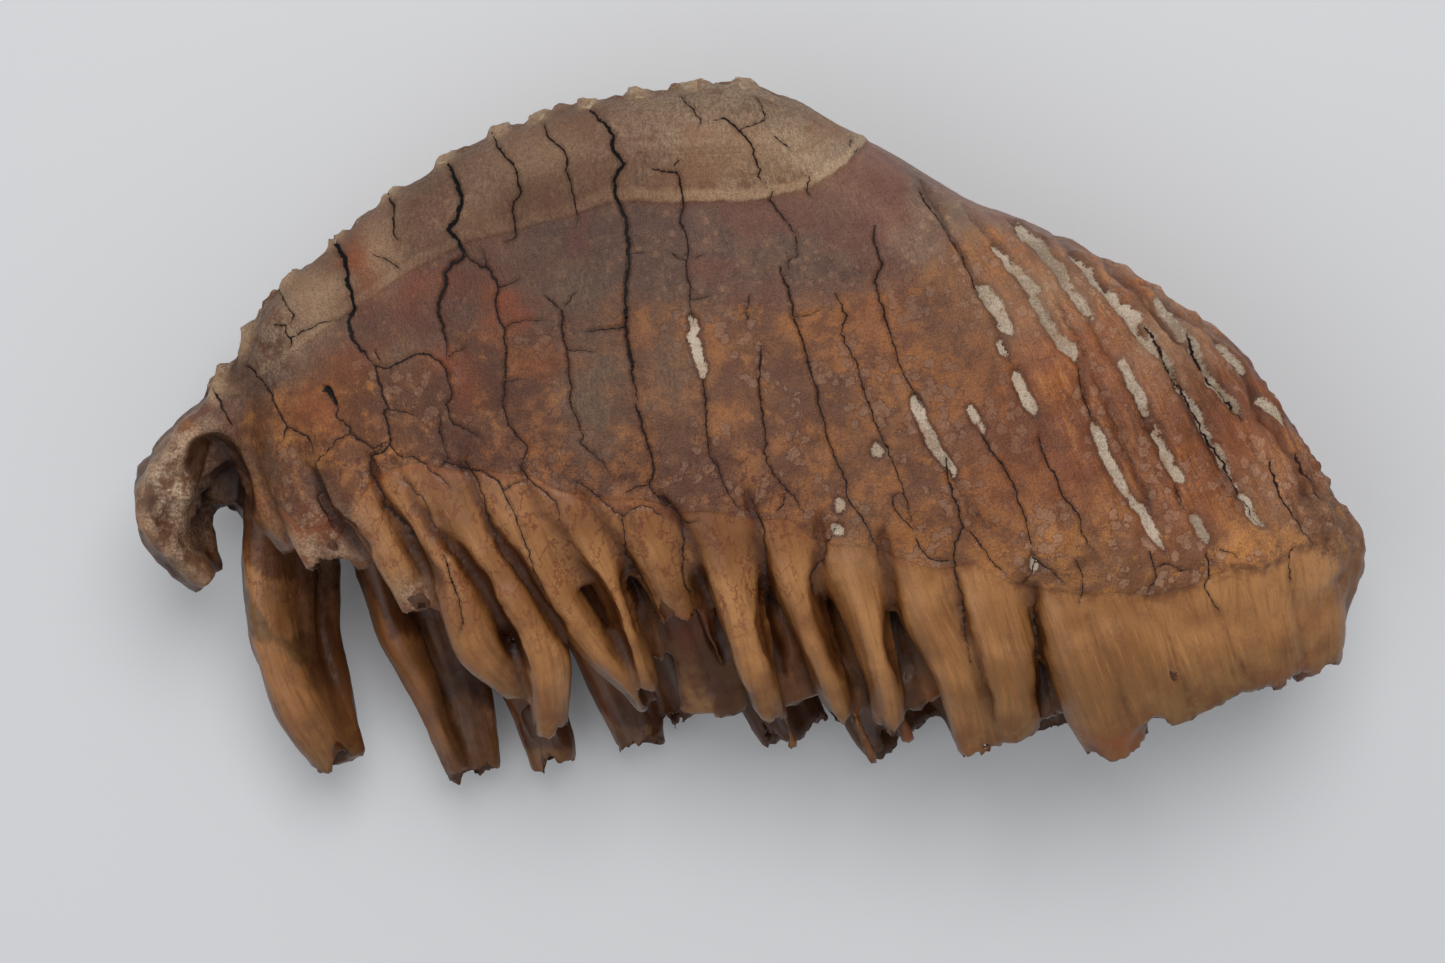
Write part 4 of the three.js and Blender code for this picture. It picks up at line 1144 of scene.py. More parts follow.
air = (tooth_field > 0).astype(np.float32)
edge_small = sample(blurred(air, 2), points) - 0.5
edge_large = sample(blurred(air, 6), points) - 0.5
inside_hollow = ramp(-sample(hollows, points), -1.2, -0.2) * in_root
print("edges:", edge_small.min().round(2), edge_small.max().round(2), round(time.time() - started), "s")

# %% [markdown]
# ## The whole tooth as one closed piece
#
# The skin becomes one mesh that stands for the frame's only part. What was found out about each corner goes
# with it as attributes, so that the finish can read it.

# %% Make the piece
def new_piece(name, corners, triangles):
    mesh = mesh_from(name, corners, triangles)
    mesh.polygons.foreach_set("use_smooth", np.ones(len(mesh.polygons), bool))
    thing = bpy.data.objects.new(name, mesh)
    bpy.context.scene.collection.objects.link(thing)
    return thing


def keep(thing, name, *columns):
    """Stores one or three numbers per corner as an attribute."""
    kind, slot = {1: ("FLOAT", "value"), 3: ("FLOAT_VECTOR", "vector")}[len(columns)]
    attribute = thing.data.attributes.new(name, kind, "POINT")
    attribute.data.foreach_set(slot, np.stack(columns, 1).astype(np.float32).ravel())


tooth = new_piece("tooth", skin.corners, skin.triangles)
print("tooth:", len(tooth.data.polygons), "triangles")

# %% [markdown]
# Stains and painted shade were read as soft ovals of grey, red, pale and dark, with edges shaken so that none
# looks like an oval. The far roots lie deep and get dark ovals of dirt and painted shade; the hook's hollow
# gets painted shade.

# %% Stains, painted shade, and what the finish can read
GREY_SPOTS = [
    (-33, 24, 8, 19, 0.9), (-78, 33, 9, 4, 0.6), (-42, 50, 15, 9, 0.7), (-14, 28, 8, 15, 0.75),
    (-4, 96, 15, 4, 0.8), (-60, 78, 9, 6, 0.5), (-52, 60, 10, 7, 0.4), (38, -9, 5, 4, 0.5),
    (18, 60, 14, 6, 0.4), (30, 70, 8, 7, 0.4), (-146, -4, 6, 12, 1.0), (-138, -20, 8, 5, 0.8),
    (70, 35, 9, 8, 0.3), (-20, -57, 3, 4, 1.0), (-118, 4, 6, 5, 0.4),
]
RED_SPOTS = [
    (-55, 44, 5, 5, 1.0), (-60, 49, 5, 4, 0.7), (-71, 31, 6, 3, 0.9), (-66, 26, 4, 7, 0.7),
    (-93, 56, 5, 9, 0.6), (-47, 30, 7, 4, 0.5), (-76, 50, 8, 5, 0.5), (-105, 20, 9, 6, 0.6),
    (-98, 30, 8, 5, 0.4), (110, 30, 20, 12, 0.5), (90, 5, 22, 10, 0.35), (-102, -14, 10, 9, 0.6),
    (-78, -33, 5, 4, 0.6), (-8, -38, 4, 5, 0.9), (40, 40, 12, 10, 0.3), (-63, -78, 9, 5, 0.6),
    (-44, -73, 6, 5, 0.9), (75, -72, 12, 3, 0.7), (105, -70, 10, 4, 0.7), (50, -68, 9, 5, 0.6),
    (24, -70, 9, 4, 0.5), (150, -50, 8, 4, 0.4), (130, 10, 16, 14, 0.5), (100, 34, 26, 10, 0.4),
    (120, -6, 14, 10, 0.4),
]
PALE_SPOTS = [
    (-106, 46, 7, 10, 0.8), (-87, 60, 4, 9, 0.6), (-111, 36, 5, 7, 0.6), (12, 84, 22, 10, 0.5),
    (-62, 68, 7, 8, 0.3), (-45, 84, 16, 10, 0.35), (85, 50, 20, 12, 0.5), (115, 36, 15, 12, 0.6),
    (60, 66, 16, 8, 0.35), (-130, -18, 6, 9, 0.9), (-136, 4, 5, 8, 0.6), (32, -18, 6, 5, 0.5),
    (141, 0, 8, 14, 0.3),
]
# dark stains; the first one is painted shade in the hollow of the hooked front root
DARK_STAINS_AND_SHADE_SPOTS = [
    (-129, 0, 6, 11, 1.3), (-121, 8, 4, 9, 0.7), (82, -22, 6, 4, 0.8), (97, -22, 7, 3, 0.5),
    (156, -6, 6, 12, 0.5), (100, 10, 20, 16, 0.5), (120, 14, 14, 16, 0.5), (-88, 16, 8, 6, 0.3),
    (84, -44, 7, 10, 0.4), (49, -48, 4, 11, 0.7), (60, 40, 12, 16, 0.3), (-126, 36, 4, 7, 0.7),
    (30, 98, 20, 6, 0.4),
]
# dirt and painted shade on the far roots, which lie in the shade of the near ones; the last is the hook's
# hollow
FAR_ROOT_DIRT_AND_SHADE_SPOTS = [  # on the far roots, which lie deep
    (-104, -18, 9, 30, 1.0), (-104, -48, 6, 20, 0.8), (-67, -52, 9, 26, 1.0), (-46, -62, 7, 9, 0.7),
    (-26, -66, 8, 8, 0.6), (-10, -50, 12, 10, 0.8), (10, -60, 30, 8, 0.9), (60, -64, 30, 7, 0.9),
    (-115, -30, 6, 40, 0.35), (-129, -2, 9, 13, 1.3),
]
wobbly = seen + np.stack([lumps(points, 5, 21), lumps(points, 5, 22)], 1) * 2
keep(tooth, "crack", *crack_way.T, crack_half * cracked)
keep(tooth, "crack far", crack_distance + 5 * (1 - cracked))
keep(tooth, "crown way", row_length, up_the_plate, points[:, 2])
keep(tooth, "root way", *root_way.T)
keep(tooth, "zones", in_root, above_growth, np.where(cracked > 0.5, cement_edge, NO_CEMENT))
keep(tooth, "edges", edge_small, edge_large, inside_hollow)
keep(tooth, "stains", *(spots(wobbly, rows) * upper_side for rows in (GREY_SPOTS, RED_SPOTS, PALE_SPOTS)))
far_dirt_and_shade = spots(wobbly, FAR_ROOT_DIRT_AND_SHADE_SPOTS) * (1 - upper_side) * in_root
keep(tooth, "more", tip, np.clip(crust, 0, 1), spots(wobbly, DARK_STAINS_AND_SHADE_SPOTS) * upper_side + far_dirt_and_shade)
keep(tooth, "hidden", hidden_seam, set_back, valley)
cloudy = 0.5 + 0.16 * (lumps(points, 15, 31) + 0.6 * lumps(points, 7, 32) + 0.35 * lumps(points, 3.6, 33))
keep(tooth, "broad", cloudy, above_band, ramp(lumps(points, 12, 34), 0.1, 0.9))
specked = ramp(lumps(points, 9, 35) + 0.5 * lumps(points, 4, 36), -0.8, 0.6)
keep(tooth, "more broad", pocket, specked, small_relief)
print("kept attributes:", len(tooth.data.attributes), "on", len(tooth.data.polygons), "triangles")

# %% [markdown]
# ## Writing a finish as sums
#
# A finish is a net of nodes, but it reads better as sums. `Wire` wraps the output of a node; adding or
# multiplying two wires adds the node that does it.

# %% A small class for finishes
class Wire:
    """The output of a node. Sums with wires and numbers add the nodes that work them out."""

    def __init__(self, tree, socket):
        self.tree = tree
        self.socket = socket

    def add(self, kind, settings, values, output=0):
        """Adds any node, with settings, and inputs by number or name. Gives one of its outputs."""
        node = self.tree.nodes.new(kind)
        for name, value in settings.items():
            setattr(node, name, value)
        for name, value in values.items():
            plug(self.tree, node.inputs[name], value)
        return Wire(self.tree, node.outputs[output])

    def math(self, operation, *others):
        kind = "ShaderNodeVectorMath" if self.is_vector() else "ShaderNodeMath"
        return self.add(kind, {"operation": operation}, dict(enumerate([self, *others])))

    def is_vector(self):
        return self.socket.type in ("VECTOR", "RGBA")

    def __add__(self, other):
        return self.math("ADD", other)

    __radd__ = __add__

    def __sub__(self, other):
        return self.math("SUBTRACT", other)

    def __rsub__(self, other):
        return (self * -1) + other

    def __mul__(self, other):
        if self.is_vector() and isinstance(other, (int, float)):
            return self.add("ShaderNodeVectorMath", {"operation": "SCALE"}, {0: self, "Scale": other})
        return self.math("MULTIPLY", other)

    __rmul__ = __mul__

    def __pow__(self, other):
        return self.math("POWER", other)

    def __abs__(self):
        return self.math("ABSOLUTE")

    def most(self, other):
        return self.math("MAXIMUM", other)

    def ramp(self, low, high):
        """0 at low and 1 at high, smooth between them; low may be the larger."""
        return self.add("ShaderNodeMapRange", {"interpolation_type": "SMOOTHSTEP"},
                        {"Value": self, "From Min": low, "From Max": high})

    def parts(self):
        return [self.add("ShaderNodeSeparateXYZ", {}, {0: self}, i) for i in range(3)]

    def mix(self, a, b):
        """This wire is the share: a where it is 0, b where it is 1. Both are colours."""
        return self.add("ShaderNodeMix", {"data_type": "RGBA"}, {"Factor": self, 6: a, 7: b}, 2)

    def between(self, a, b):
        """This wire is the share of the way from one place to another."""
        return self.add("ShaderNodeMix", {"data_type": "VECTOR"}, {"Factor": self, 4: a, 5: b}, 1)

    def noise(self, size, detail=2.0, rough=0.5, scale=(1, 1, 1), lift=0.0, output=0):
        """Clouds of about this size in millimetres, from 0 to 1; this wire is the place in millimetres."""
        where = self * tuple(s / size for s in scale) + lift
        return self.add("ShaderNodeTexNoise", {}, {
            "Vector": where, "Scale": 1.0, "Detail": detail, "Roughness": rough}, output)

    def cells(self, size, feature="F1", lift=0.0):
        """How far it is to the middle, or to the edge, of rounded cells of about this size in millimetres."""
        return self.add("ShaderNodeTexVoronoi", {"feature": feature}, {
            "Vector": self * (1 / size) + lift, "Scale": 1.0}, "Distance")


def plug(tree, socket, value):
    if isinstance(value, Wire):
        tree.links.new(value.socket, socket)
    elif isinstance(value, (int, float)) and socket.type == "VECTOR":
        socket.default_value = (value,) * 3
    elif isinstance(value, tuple) and socket.type == "RGBA" and len(value) == 3:
        socket.default_value = (*value, 1)
    else:
        socket.default_value = value


def new_finish(name):
    """An empty material, a wire to start from, and the sockets of its one shader."""
    material = bpy.data.materials.new(name)
    material.use_nodes = True
    tree = material.node_tree
    tree.nodes.clear()
    shader = tree.nodes.new("ShaderNodeBsdfPrincipled")
    end = tree.nodes.new("ShaderNodeOutputMaterial")
    tree.links.new(shader.outputs[0], end.inputs["Surface"])
    return material, Wire(tree, None), shader


def attribute(start, name, output="Vector"):
    return start.add("ShaderNodeAttribute", {"attribute_name": name}, {}, output)


# %% [markdown]
# ## Colours as they look
#
# Colours were judged as they look in the photo, on a floor that is nearly white. `tone` turns such a
# colour into the share of light that the surface gives back.

# %% Tones
LIGHT_LEVEL = 0.70
SHEEN_OF_ROOM = 0.008  # the pale room mirrored in everything, which a surface colour shouldn't repeat


def tone(red, green, blue):
    """A colour as it looks in the photo, from 0 to 255, as a surface colour."""
    shares = [c / 255 for c in (red, green, blue)]
    linear = [((c + 0.055) / 1.055) ** 2.4 if c > 0.04 else c / 12.92 for c in shares]
    return tuple(min(max(c - SHEEN_OF_ROOM, 0.002) / LIGHT_LEVEL, 1) for c in linear)


print("honey:", [round(c, 3) for c in tone(142, 100, 63)])

# %% [markdown]
# ## The finish of the tooth
#
# One finish covers everything, since the tooth has no seams between parts, only zones that run into each
# other: the worn grey cap, the purple band under it, the orange sides with pale specks, and the honey
# coloured roots.

# %% What the finish reads
finish, start, shader = new_finish("old tooth")
spot = start.add("ShaderNodeTexCoord", {}, {}, "Object") * 1000
crown_grain = attribute(start, "crown way")
root_place = attribute(start, "root way")
in_root_w, above_w, cement_w = attribute(start, "zones").parts()
edge_w, broad_edge_w, inside_w = attribute(start, "edges").parts()
grey_w, red_w, pale_w = attribute(start, "stains").parts()
tip_w, crust_w, dark_w = attribute(start, "more").parts()
seam_w, set_back_w, valley_w = attribute(start, "hidden").parts()
clouds, above_band_w, hair_room = attribute(start, "broad").parts()
pocket_w, speck_room, low_w = attribute(start, "more broad").parts()

across_row, _, _ = crown_grain.parts()
patches = spot.noise(5, 4, 0.65, lift=7.0)
grain = in_root_w.ramp(0.48, 0.52).between(crown_grain * (1.2, 0.4, 1.1), root_place * (0.7, 0.05, 0.0))
grain = grain.noise(1.0, 3, 0.72)
fine = spot.noise(0.7, 2, 0.75, lift=3.0)
stipple = spot.noise(0.42, 1, 0.6, lift=15.0)
shaken = spot.noise(1.6, 2, 0.55, lift=9.0, output="Color") - 0.5
spot_x, spot_y, high = spot.parts()
on_root = in_root_w.ramp(0.3, 0.7)
wavy = above_w + (patches - 0.5) * 3.0
on_cap = wavy.ramp(-0.4, 0.6)

# %% [markdown]
# The worn cap is grey tan, with a grain that runs up the plates, growth lines and small reddish pits. The
# band below it is purple brown with a tan bloom and tan specks.

# %% The cap and the band
lines_of_growth = start.add("ShaderNodeCombineXYZ", {}, {0: across_row * 0.03, 1: above_w * 0.8, 2: patches})
lines_of_growth = lines_of_growth.noise(1.0, 1, 0.6)
cap = grain.ramp(0.3, 0.7).mix(tone(102, 84, 69), tone(142, 120, 98))
cap = (clouds.ramp(0.42, 0.7) * 0.8).mix(cap, tone(116, 84, 63))
cap = (lines_of_growth.ramp(0.5, 0.72) * 0.5).mix(cap, tone(100, 76, 60))
cap = (patches.ramp(0.52, 0.68) * 0.75).mix(cap, tone(92, 62, 48))
band = patches.ramp(0.3, 0.7).mix(tone(78, 56, 47), tone(106, 80, 66))
band = (grain.ramp(0.5, 0.75) * 0.45).mix(band, tone(130, 103, 82))
band = (clouds.ramp(0.55, 0.38) * 0.45).mix(band, tone(106, 60, 50))
band_specks = (spot + shaken * 1.6).cells(2.6, lift=40.0)
band_specks = band_specks.ramp(0.38, 0.2) * clouds.ramp(0.36, 0.5) * patches.ramp(0.4, 0.55)
band = (band_specks * 0.5).mix(band, tone(140, 108, 84))

# %% [markdown]
# The sides are orange brown, clouded with a darker brown, with mauve specks that have darker rims. Towards
# the back the plates are unworn and redder. Fine reddish wrinkles cross the front roots at their upper
# ends, and the sides above them.

# %% The sides
sides = clouds.ramp(0.35, 0.62).mix(tone(104, 69, 46), tone(142, 95, 55))
sides = (patches.ramp(0.46, 0.6) * 0.6).mix(sides, tone(92, 60, 44))
sides = (patches.ramp(0.44, 0.34) * 0.6).mix(sides, tone(154, 104, 56))
bent = spot + shaken * 2.6
specks = bent.cells(3.2)
speck_size = speck_room * 0.46
disc = (speck_size - specks).ramp(0.0, 0.07)
rim = (speck_size + 0.08 - specks).ramp(0.0, 0.06) * (1 - disc)
sides = (rim * 0.6).mix(sides, tone(82, 52, 38))
sides = (disc * fine.ramp(0.15, 0.5) * 0.75).mix(sides, tone(132, 100, 79))
to_back = spot_x.ramp(35, 85) * spot_y.ramp(-25, 0)
sides = (to_back * grain.ramp(0.3, 0.6) * 0.75).mix(sides, tone(106, 60, 36))
sides = to_back.mix(sides, sides * (1.04, 0.9, 0.76))
wrinkles = abs(bent.noise(4.2, 2, 0.6, scale=(1.0, 0.5, 1.0), lift=31.0) - 0.5).ramp(0.042, 0.0)
wrinkles = wrinkles * spot_x.ramp(30, 0) * spot_y.ramp(-58, -36) * spot_y.ramp(14, -4)
wrinkles = wrinkles * patches.ramp(0.25, 0.5) * 0.75
sides = wrinkles.mix(sides, tone(84, 46, 32))

# %% [markdown]
# The roots are honey coloured, with pale and reddish veins along them, redder near the crown, and olive
# brown at their tips, where painted shade also darkens them.

# %% The roots
honey = clouds.ramp(0.3, 0.7).mix(tone(124, 84, 50), tone(156, 111, 69))
honey = (grain.ramp(0.45, 0.7) * 0.55).mix(honey, tone(104, 66, 38))
honey = (grain.ramp(0.42, 0.3) * 0.35).mix(honey, tone(174, 130, 86))
honey = wrinkles.mix(honey, tone(104, 56, 36))
honey = (patches.ramp(0.5, 0.75) * 0.5).mix(honey, tone(112, 78, 52))
near_crown = in_root_w.ramp(1.0, 0.75)
honey = (near_crown * patches.ramp(0.4, 0.6) * 0.45).mix(honey, tone(122, 70, 42))
honey = (near_crown * spot_x.ramp(0, -40)).mix(honey, honey * (1.16, 1.1, 0.98))
olive = spot_x.ramp(30, 60) * spot_y.ramp(-44, -64) * grain.ramp(0.3, 0.6)
honey = (olive * 0.5).mix(honey, tone(106, 80, 50))
honey = honey * (0.88, 0.86, 0.85)
# olive brown tips, darker with painted shade
honey = (tip_w * 0.85).mix(honey, patches.ramp(0.4, 0.6).mix(tone(98, 74, 47), tone(84, 54, 37)))

# %% [markdown]
# The zones run into each other. A pale strip edges the worn cap. The unworn plates at the back are ridged,
# with rust and dark streaks along them, and a dark border follows the line where the roots begin.

# %% From zone to zone
old_cap = across_row.ramp(95, 135)
sides = sides * 0.94
band_share = (above_band_w + (patches - 0.5) * 14).ramp(-5, 5)
colour = band_share.mix(sides, band)
colour = (wavy.ramp(-3.0, -0.4) * wavy.ramp(1.2, -0.2) * 0.75 * old_cap).mix(colour, tone(92, 57, 42))
colour = (on_cap * (old_cap * 0.55 + 0.45)).mix(colour, cap)
pale_strip = wavy.ramp(0.0, 0.8) * wavy.ramp(4.2, 2.4) * (old_cap * 0.7 + 0.3)
colour = (pale_strip * 0.8 * grain.ramp(0.15, 0.55)).mix(colour, tone(152, 128, 104))
streaks = (crown_grain * (0.45, 0.07, 0.15)).noise(1.0, 2, 0.6)
at_back = spot_x.ramp(48, 90) * spot_y.ramp(-24, -8)
colour = (at_back * streaks.ramp(0.53, 0.66) * 0.4).mix(colour, tone(164, 112, 66))
colour = (at_back * streaks.ramp(0.48, 0.34) * 0.7).mix(colour, tone(86, 48, 32))
colour = (at_back * rim * 0.5).mix(colour, tone(80, 48, 34))
colour = (at_back * disc * fine.ramp(0.15, 0.5) * 0.6).mix(colour, tone(136, 102, 80))
colour = (cement_w.ramp(1.5, 0.4) * fine.ramp(0.3, 0.5) * 0.65).mix(colour, tone(70, 42, 30))
colour = on_root.mix(colour, honey)
border = in_root_w * (1 - in_root_w) * spot_x.ramp(48, 90) * patches.ramp(0.4, 0.6) * 2.4
colour = border.mix(colour, tone(86, 56, 38))
# The front of the cap is browner.
front = (1 - old_cap) * (1 - in_root_w) * patches.ramp(0.2, 0.55)
colour = (front * 0.88).mix(colour, colour * (0.6, 0.51, 0.45))

# %% [markdown]
# Stains come next, then dirt and painted shade. Dirt and painted shade darken hollows and the valleys and
# recesses between the roots, painted shade darkens the roots lower down, wear lightens edges, sunken relief
# is darker and raised relief paler, and all of these only change the colour that is already there. The
# insides of open ends are deep brown with painted shade, and everything is finely speckled.

# %% Stains, dirt, painted shade and wear
ragged_w = (patches - 0.5) * 1.3 + 0.15
# grey, red and pale stains, and dark ovals that are stains, dirt and painted shade
for blotch_or_shade_share, strength, blotch_or_shade_tone in (
        (grey_w, 0.8, grain.ramp(0.3, 0.7).mix(tone(82, 67, 55), tone(112, 90, 72))),
        (red_w, 0.8, tone(118, 64, 38)),
        (pale_w, 0.55, tone(154, 126, 98)),
        (dark_w, 0.7, tone(68, 47, 35))):
    colour = ((blotch_or_shade_share + ragged_w * blotch_or_shade_share) * strength).mix(colour, blotch_or_shade_tone)
crusty = fine.ramp(0.3, 0.7).mix(tone(106, 86, 72), tone(176, 154, 130))
crusty = patches.ramp(0.47, 0.6).mix(crusty, tone(92, 60, 43))
colour = (crust_w * (spot_x.ramp(-60, -90) * 0.6 + 0.15)).mix(colour, crusty)
for share_w, change in (
        # dirt and painted shade in small hollows
        (edge_w.ramp(0.02, -0.14) * 0.6, (0.5, 0.42, 0.34)),
        # dirt and painted shade in the valleys between the roots
        (valley_w * (in_root_w * 0.15 + 0.5), (0.42, 0.32, 0.24)),
        # painted shade deep between the near roots, where they are set back
        (set_back_w * 0.85, (0.4, 0.29, 0.22)),
        # painted shade: the roots darker lower down, towards the far row under the crown
        (high.ramp(56, 22) * in_root_w * 0.75, (0.7, 0.58, 0.48)),
        # dirt and painted shade in broad hollows
        (broad_edge_w.ramp(-0.02, -0.2) * 0.6, (0.55, 0.42, 0.32)),
        (edge_w.ramp(0.05, 0.2) * 0.5, (1.4, 1.4, 1.4)),
        # sunken relief darker and raised relief paler
        (low_w.ramp(-0.25, -1.3) * 0.7, (0.5, 0.4, 0.33)),
        (low_w.ramp(0.3, 1.4) * 0.5, (1.35, 1.35, 1.35))):
    colour = share_w.mix(colour, colour * change)
# the insides of open root ends deep brown, with painted shade
colour = (inside_w * 0.85).mix(colour, tone(66, 40, 26))
colour = (pocket_w * grain.ramp(0.2, 0.5) * 0.8).mix(colour, tone(160, 132, 102))
speckle = (stipple - 0.5) * 1.1 + (fine - 0.5) * 0.7
colour = colour * ((speckle * (in_root_w * -0.7 + 1)) + 1)

# %% [markdown]
# Cement lies in strips, and in the seams of the hidden side. On a crack the way to the nearest crack is
# nothing, so its length draws the crack, and a little noise in it makes the crack ragged. Hairlines fill
# the space between.

# %% Cement and cracks
cement_mask = (cement_w + (fine - 0.5) * 1.7 + (patches - 0.42) * 1.2).ramp(0.2, -0.25)
hidden_cement = seam_w.ramp(0.4, 0.8) * clouds.ramp(0.45, 0.55)
cement_mask = cement_mask.most(hidden_cement)
cement_tone = (fine * 0.5 + clouds * 0.5).ramp(0.35, 0.65).mix(tone(136, 117, 98), tone(186, 170, 150))
cement_tone = (patches.ramp(0.5, 0.7) * 0.6).mix(cement_tone, tone(150, 112, 82))
colour = cement_mask.mix(colour, cement_tone)

crack_x, crack_y, crack_half_w = attribute(start, "crack").parts()
crack_far = attribute(start, "crack far", "Fac")
shake_x, shake_y, shake = shaken.parts()
crack_x = crack_x + shake_x * 0.8
crack_y = crack_y + shake_y * 0.8
to_crack = (crack_x * crack_x + crack_y * crack_y) ** 0.5
near_crack = crack_far.ramp(2.4, 1.4)
crack_w = (to_crack - crack_half_w * (shake * 1.5 + 0.8)).ramp(0.10, -0.08) * near_crack
crack_w = crack_w * crack_half_w.ramp(0.02, 0.12)
beside_w = (to_crack - crack_half_w).ramp(1.1, 0.0) * near_crack * 0.4
colour = beside_w.mix(colour, colour * 0.6)
colour = crack_w.mix(colour, crack_half_w.ramp(0.2, 0.6).mix(tone(42, 28, 20), tone(22, 15, 11)))

hair = (spot + (patches - 0.5) * 9.0 + shaken * 1.5).cells(8, "DISTANCE_TO_EDGE", lift=4.0)
hairline = (hair * -1 + 0.016).ramp(0.0, 0.016) * hair_room * patches.ramp(0.4, 0.55)
hairline = hairline * (on_cap * -0.7 + 1) * (in_root_w * -0.8 + 1)
colour = (hairline * 0.6).mix(colour, tone(52, 33, 24))

# %% [markdown]
# The cap, cement and crusts are dull, the roots smoother. Only the finest grain is left to a bump, since
# everything larger is in the mesh.

# %% Roughness, grain, and the tooth's own piece
crown_w = 1 - on_root
rough = (on_cap * crown_w * 0.22 + 0.46) + (patches - 0.5) * 0.15
rough = rough + cement_mask * 0.35 + crack_w * 0.3 + crust_w * 0.2
rough = rough - on_root * 0.10
rough_skin = above_w.ramp(-0.4, 0.6) * 0.25 + 0.16
bump = grain * (crown_w * rough_skin + 0.10) + stipple * crown_w * 0.12
bump = bump + fine * (crown_w * 0.16 + 0.04 + cement_w.ramp(0.2, -0.25) * 0.3 + crust_w * 0.3)

plug(start.tree, shader.inputs["Base Color"], colour)
plug(start.tree, shader.inputs["Roughness"], rough)
plug(start.tree, shader.inputs["Normal"], start.add("ShaderNodeBump", {}, {
    "Strength": 1.0, "Distance": MM, "Height": bump}))
shader.inputs["Specular IOR Level"].default_value = 0.42
tooth.data.materials.append(finish)
print("nodes in the finish:", len(finish.node_tree.nodes))
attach(tooth, "root")
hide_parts("molar")

# %% [markdown]
# ## Enamel on the chewing edge
#
# Each plate is a flat pocket of hard enamel. Chewing wore the softer stuff down, so every pocket ends in a
# low enamel ridge that runs round it. From above, only their near ends show, as pale bumps along the edge.
# Geometry Nodes turns a ring of edges into a tube and roughens it.

# %% Node trees from a short list
def node_group(name, inputs):
    """An empty Geometry Nodes group with a geometry in and out and these named number or material inputs."""
    group = bpy.data.node_groups.new(name, "GeometryNodeTree")
    group.interface.new_socket("Geometry", in_out="INPUT", socket_type="NodeSocketGeometry")
    for title, kind in inputs.items():
        group.interface.new_socket(title, in_out="INPUT", socket_type=kind)
    group.interface.new_socket("Geometry", in_out="OUTPUT", socket_type="NodeSocketGeometry")
    start = Wire(group, None)
    given = group.nodes.new("NodeGroupInput")
    return group, start, {s.name: Wire(group, s) for s in given.outputs if s.name}


def finish_group(group, geometry):
    end = group.nodes.new("NodeGroupOutput")
    group.links.new(geometry.socket, end.inputs[0])


def grown(name, group, base_mesh, values):
    """Runs a node group on a mesh and returns a plain piece with the result."""
    thing = bpy.data.objects.new(name, base_mesh)
    bpy.context.scene.collection.objects.link(thing)
    modifier = thing.modifiers.new("grow", "NODES")
    modifier.node_group = group
    for item in group.interface.items_tree:
        if item.in_out == "INPUT" and item.name in values:
            modifier[item.identifier] = values[item.name]
    bpy.context.view_layer.update()
    mesh = bpy.data.meshes.new_from_object(thing.evaluated_get(bpy.context.evaluated_depsgraph_get()))
    bpy.data.objects.remove(thing)
    mesh.name = name
    piece = bpy.data.objects.new(name, mesh)
    bpy.context.scene.collection.objects.link(piece)
    return piece


# %% [markdown]
# A ring of edges becomes a curve with even steps, the curve becomes a tube, and noise pushes the tube's
# skin about.

# %% The ridge group
ridge_group, ridge_net, ridge_inputs = node_group("enamel ridge", {
    "Thickness": "NodeSocketFloat", "Roughness": "NodeSocketFloat", "Seed": "NodeSocketFloat",
    "Finish": "NodeSocketMaterial"})
curve = ridge_net.add("GeometryNodeMeshToCurve", {}, {"Mesh": ridge_inputs["Geometry"]})
curve = ridge_net.add("GeometryNodeResampleCurve", {"mode": "LENGTH"}, {"Curve": curve, "Length": 1.1 * MM})
circle = ridge_net.add("GeometryNodeCurvePrimitiveCircle", {}, {
    "Resolution": 8, "Radius": ridge_inputs["Thickness"]})
tube = ridge_net.add("GeometryNodeCurveToMesh", {}, {"Curve": curve, "Profile Curve": circle})
ridge_place = ridge_net.add("GeometryNodeInputPosition", {}, {})
ridge_noise = ridge_net.add("ShaderNodeTexNoise", {"noise_dimensions": "4D"}, {
    "Vector": ridge_place, "W": ridge_inputs["Seed"], "Scale": 260.0, "Detail": 3.0}, "Color")
push = (ridge_noise - 0.5) * ridge_inputs["Roughness"]
tube = ridge_net.add("GeometryNodeSetPosition", {}, {"Geometry": tube, "Offset": push})
tube = ridge_net.add("GeometryNodeSetShadeSmooth", {}, {"Geometry": tube})
tube = ridge_net.add("GeometryNodeRealizeInstances", {}, {"Geometry": tube})
tube = ridge_net.add("GeometryNodeSetMaterial", {}, {"Geometry": tube, "Material": ridge_inputs["Finish"]})
finish_group(ridge_group, tube)
print("nodes in the ridge group:", len(ridge_group.nodes))

# %% [markdown]
# Worn enamel is paler than the rest, and a little glossier.

# %% The enamel's finish
enamel_finish, enamel_net, enamel_shader = new_finish("worn enamel")
enamel_spot = enamel_net.add("ShaderNodeTexCoord", {}, {}, "Object") * 1000
enamel_clouds = enamel_spot.noise(4, 3, 0.6)
enamel_fine = enamel_spot.noise(0.7, 3, 0.7, lift=3.0)
enamel_tone = enamel_clouds.ramp(0.38, 0.62).mix(tone(118, 90, 66), tone(158, 138, 112))
enamel_tone = (enamel_fine.ramp(0.45, 0.75) * 0.6).mix(enamel_tone, tone(92, 66, 48))
plug(enamel_net.tree, enamel_shader.inputs["Base Color"], enamel_tone)
plug(enamel_net.tree, enamel_shader.inputs["Roughness"], enamel_fine * 0.3 + 0.4)
plug(enamel_net.tree, enamel_shader.inputs["Normal"], enamel_net.add("ShaderNodeBump", {}, {
    "Strength": 0.8, "Distance": MM, "Height": enamel_fine * 0.3 + enamel_clouds * 0.3}))

# %% [markdown]
# Each ring starts as a flat oval across the chewing face, follows the face as it curves down at both ends,
# and is put back on the field. It lies half sunk, so that only a low ridge shows.

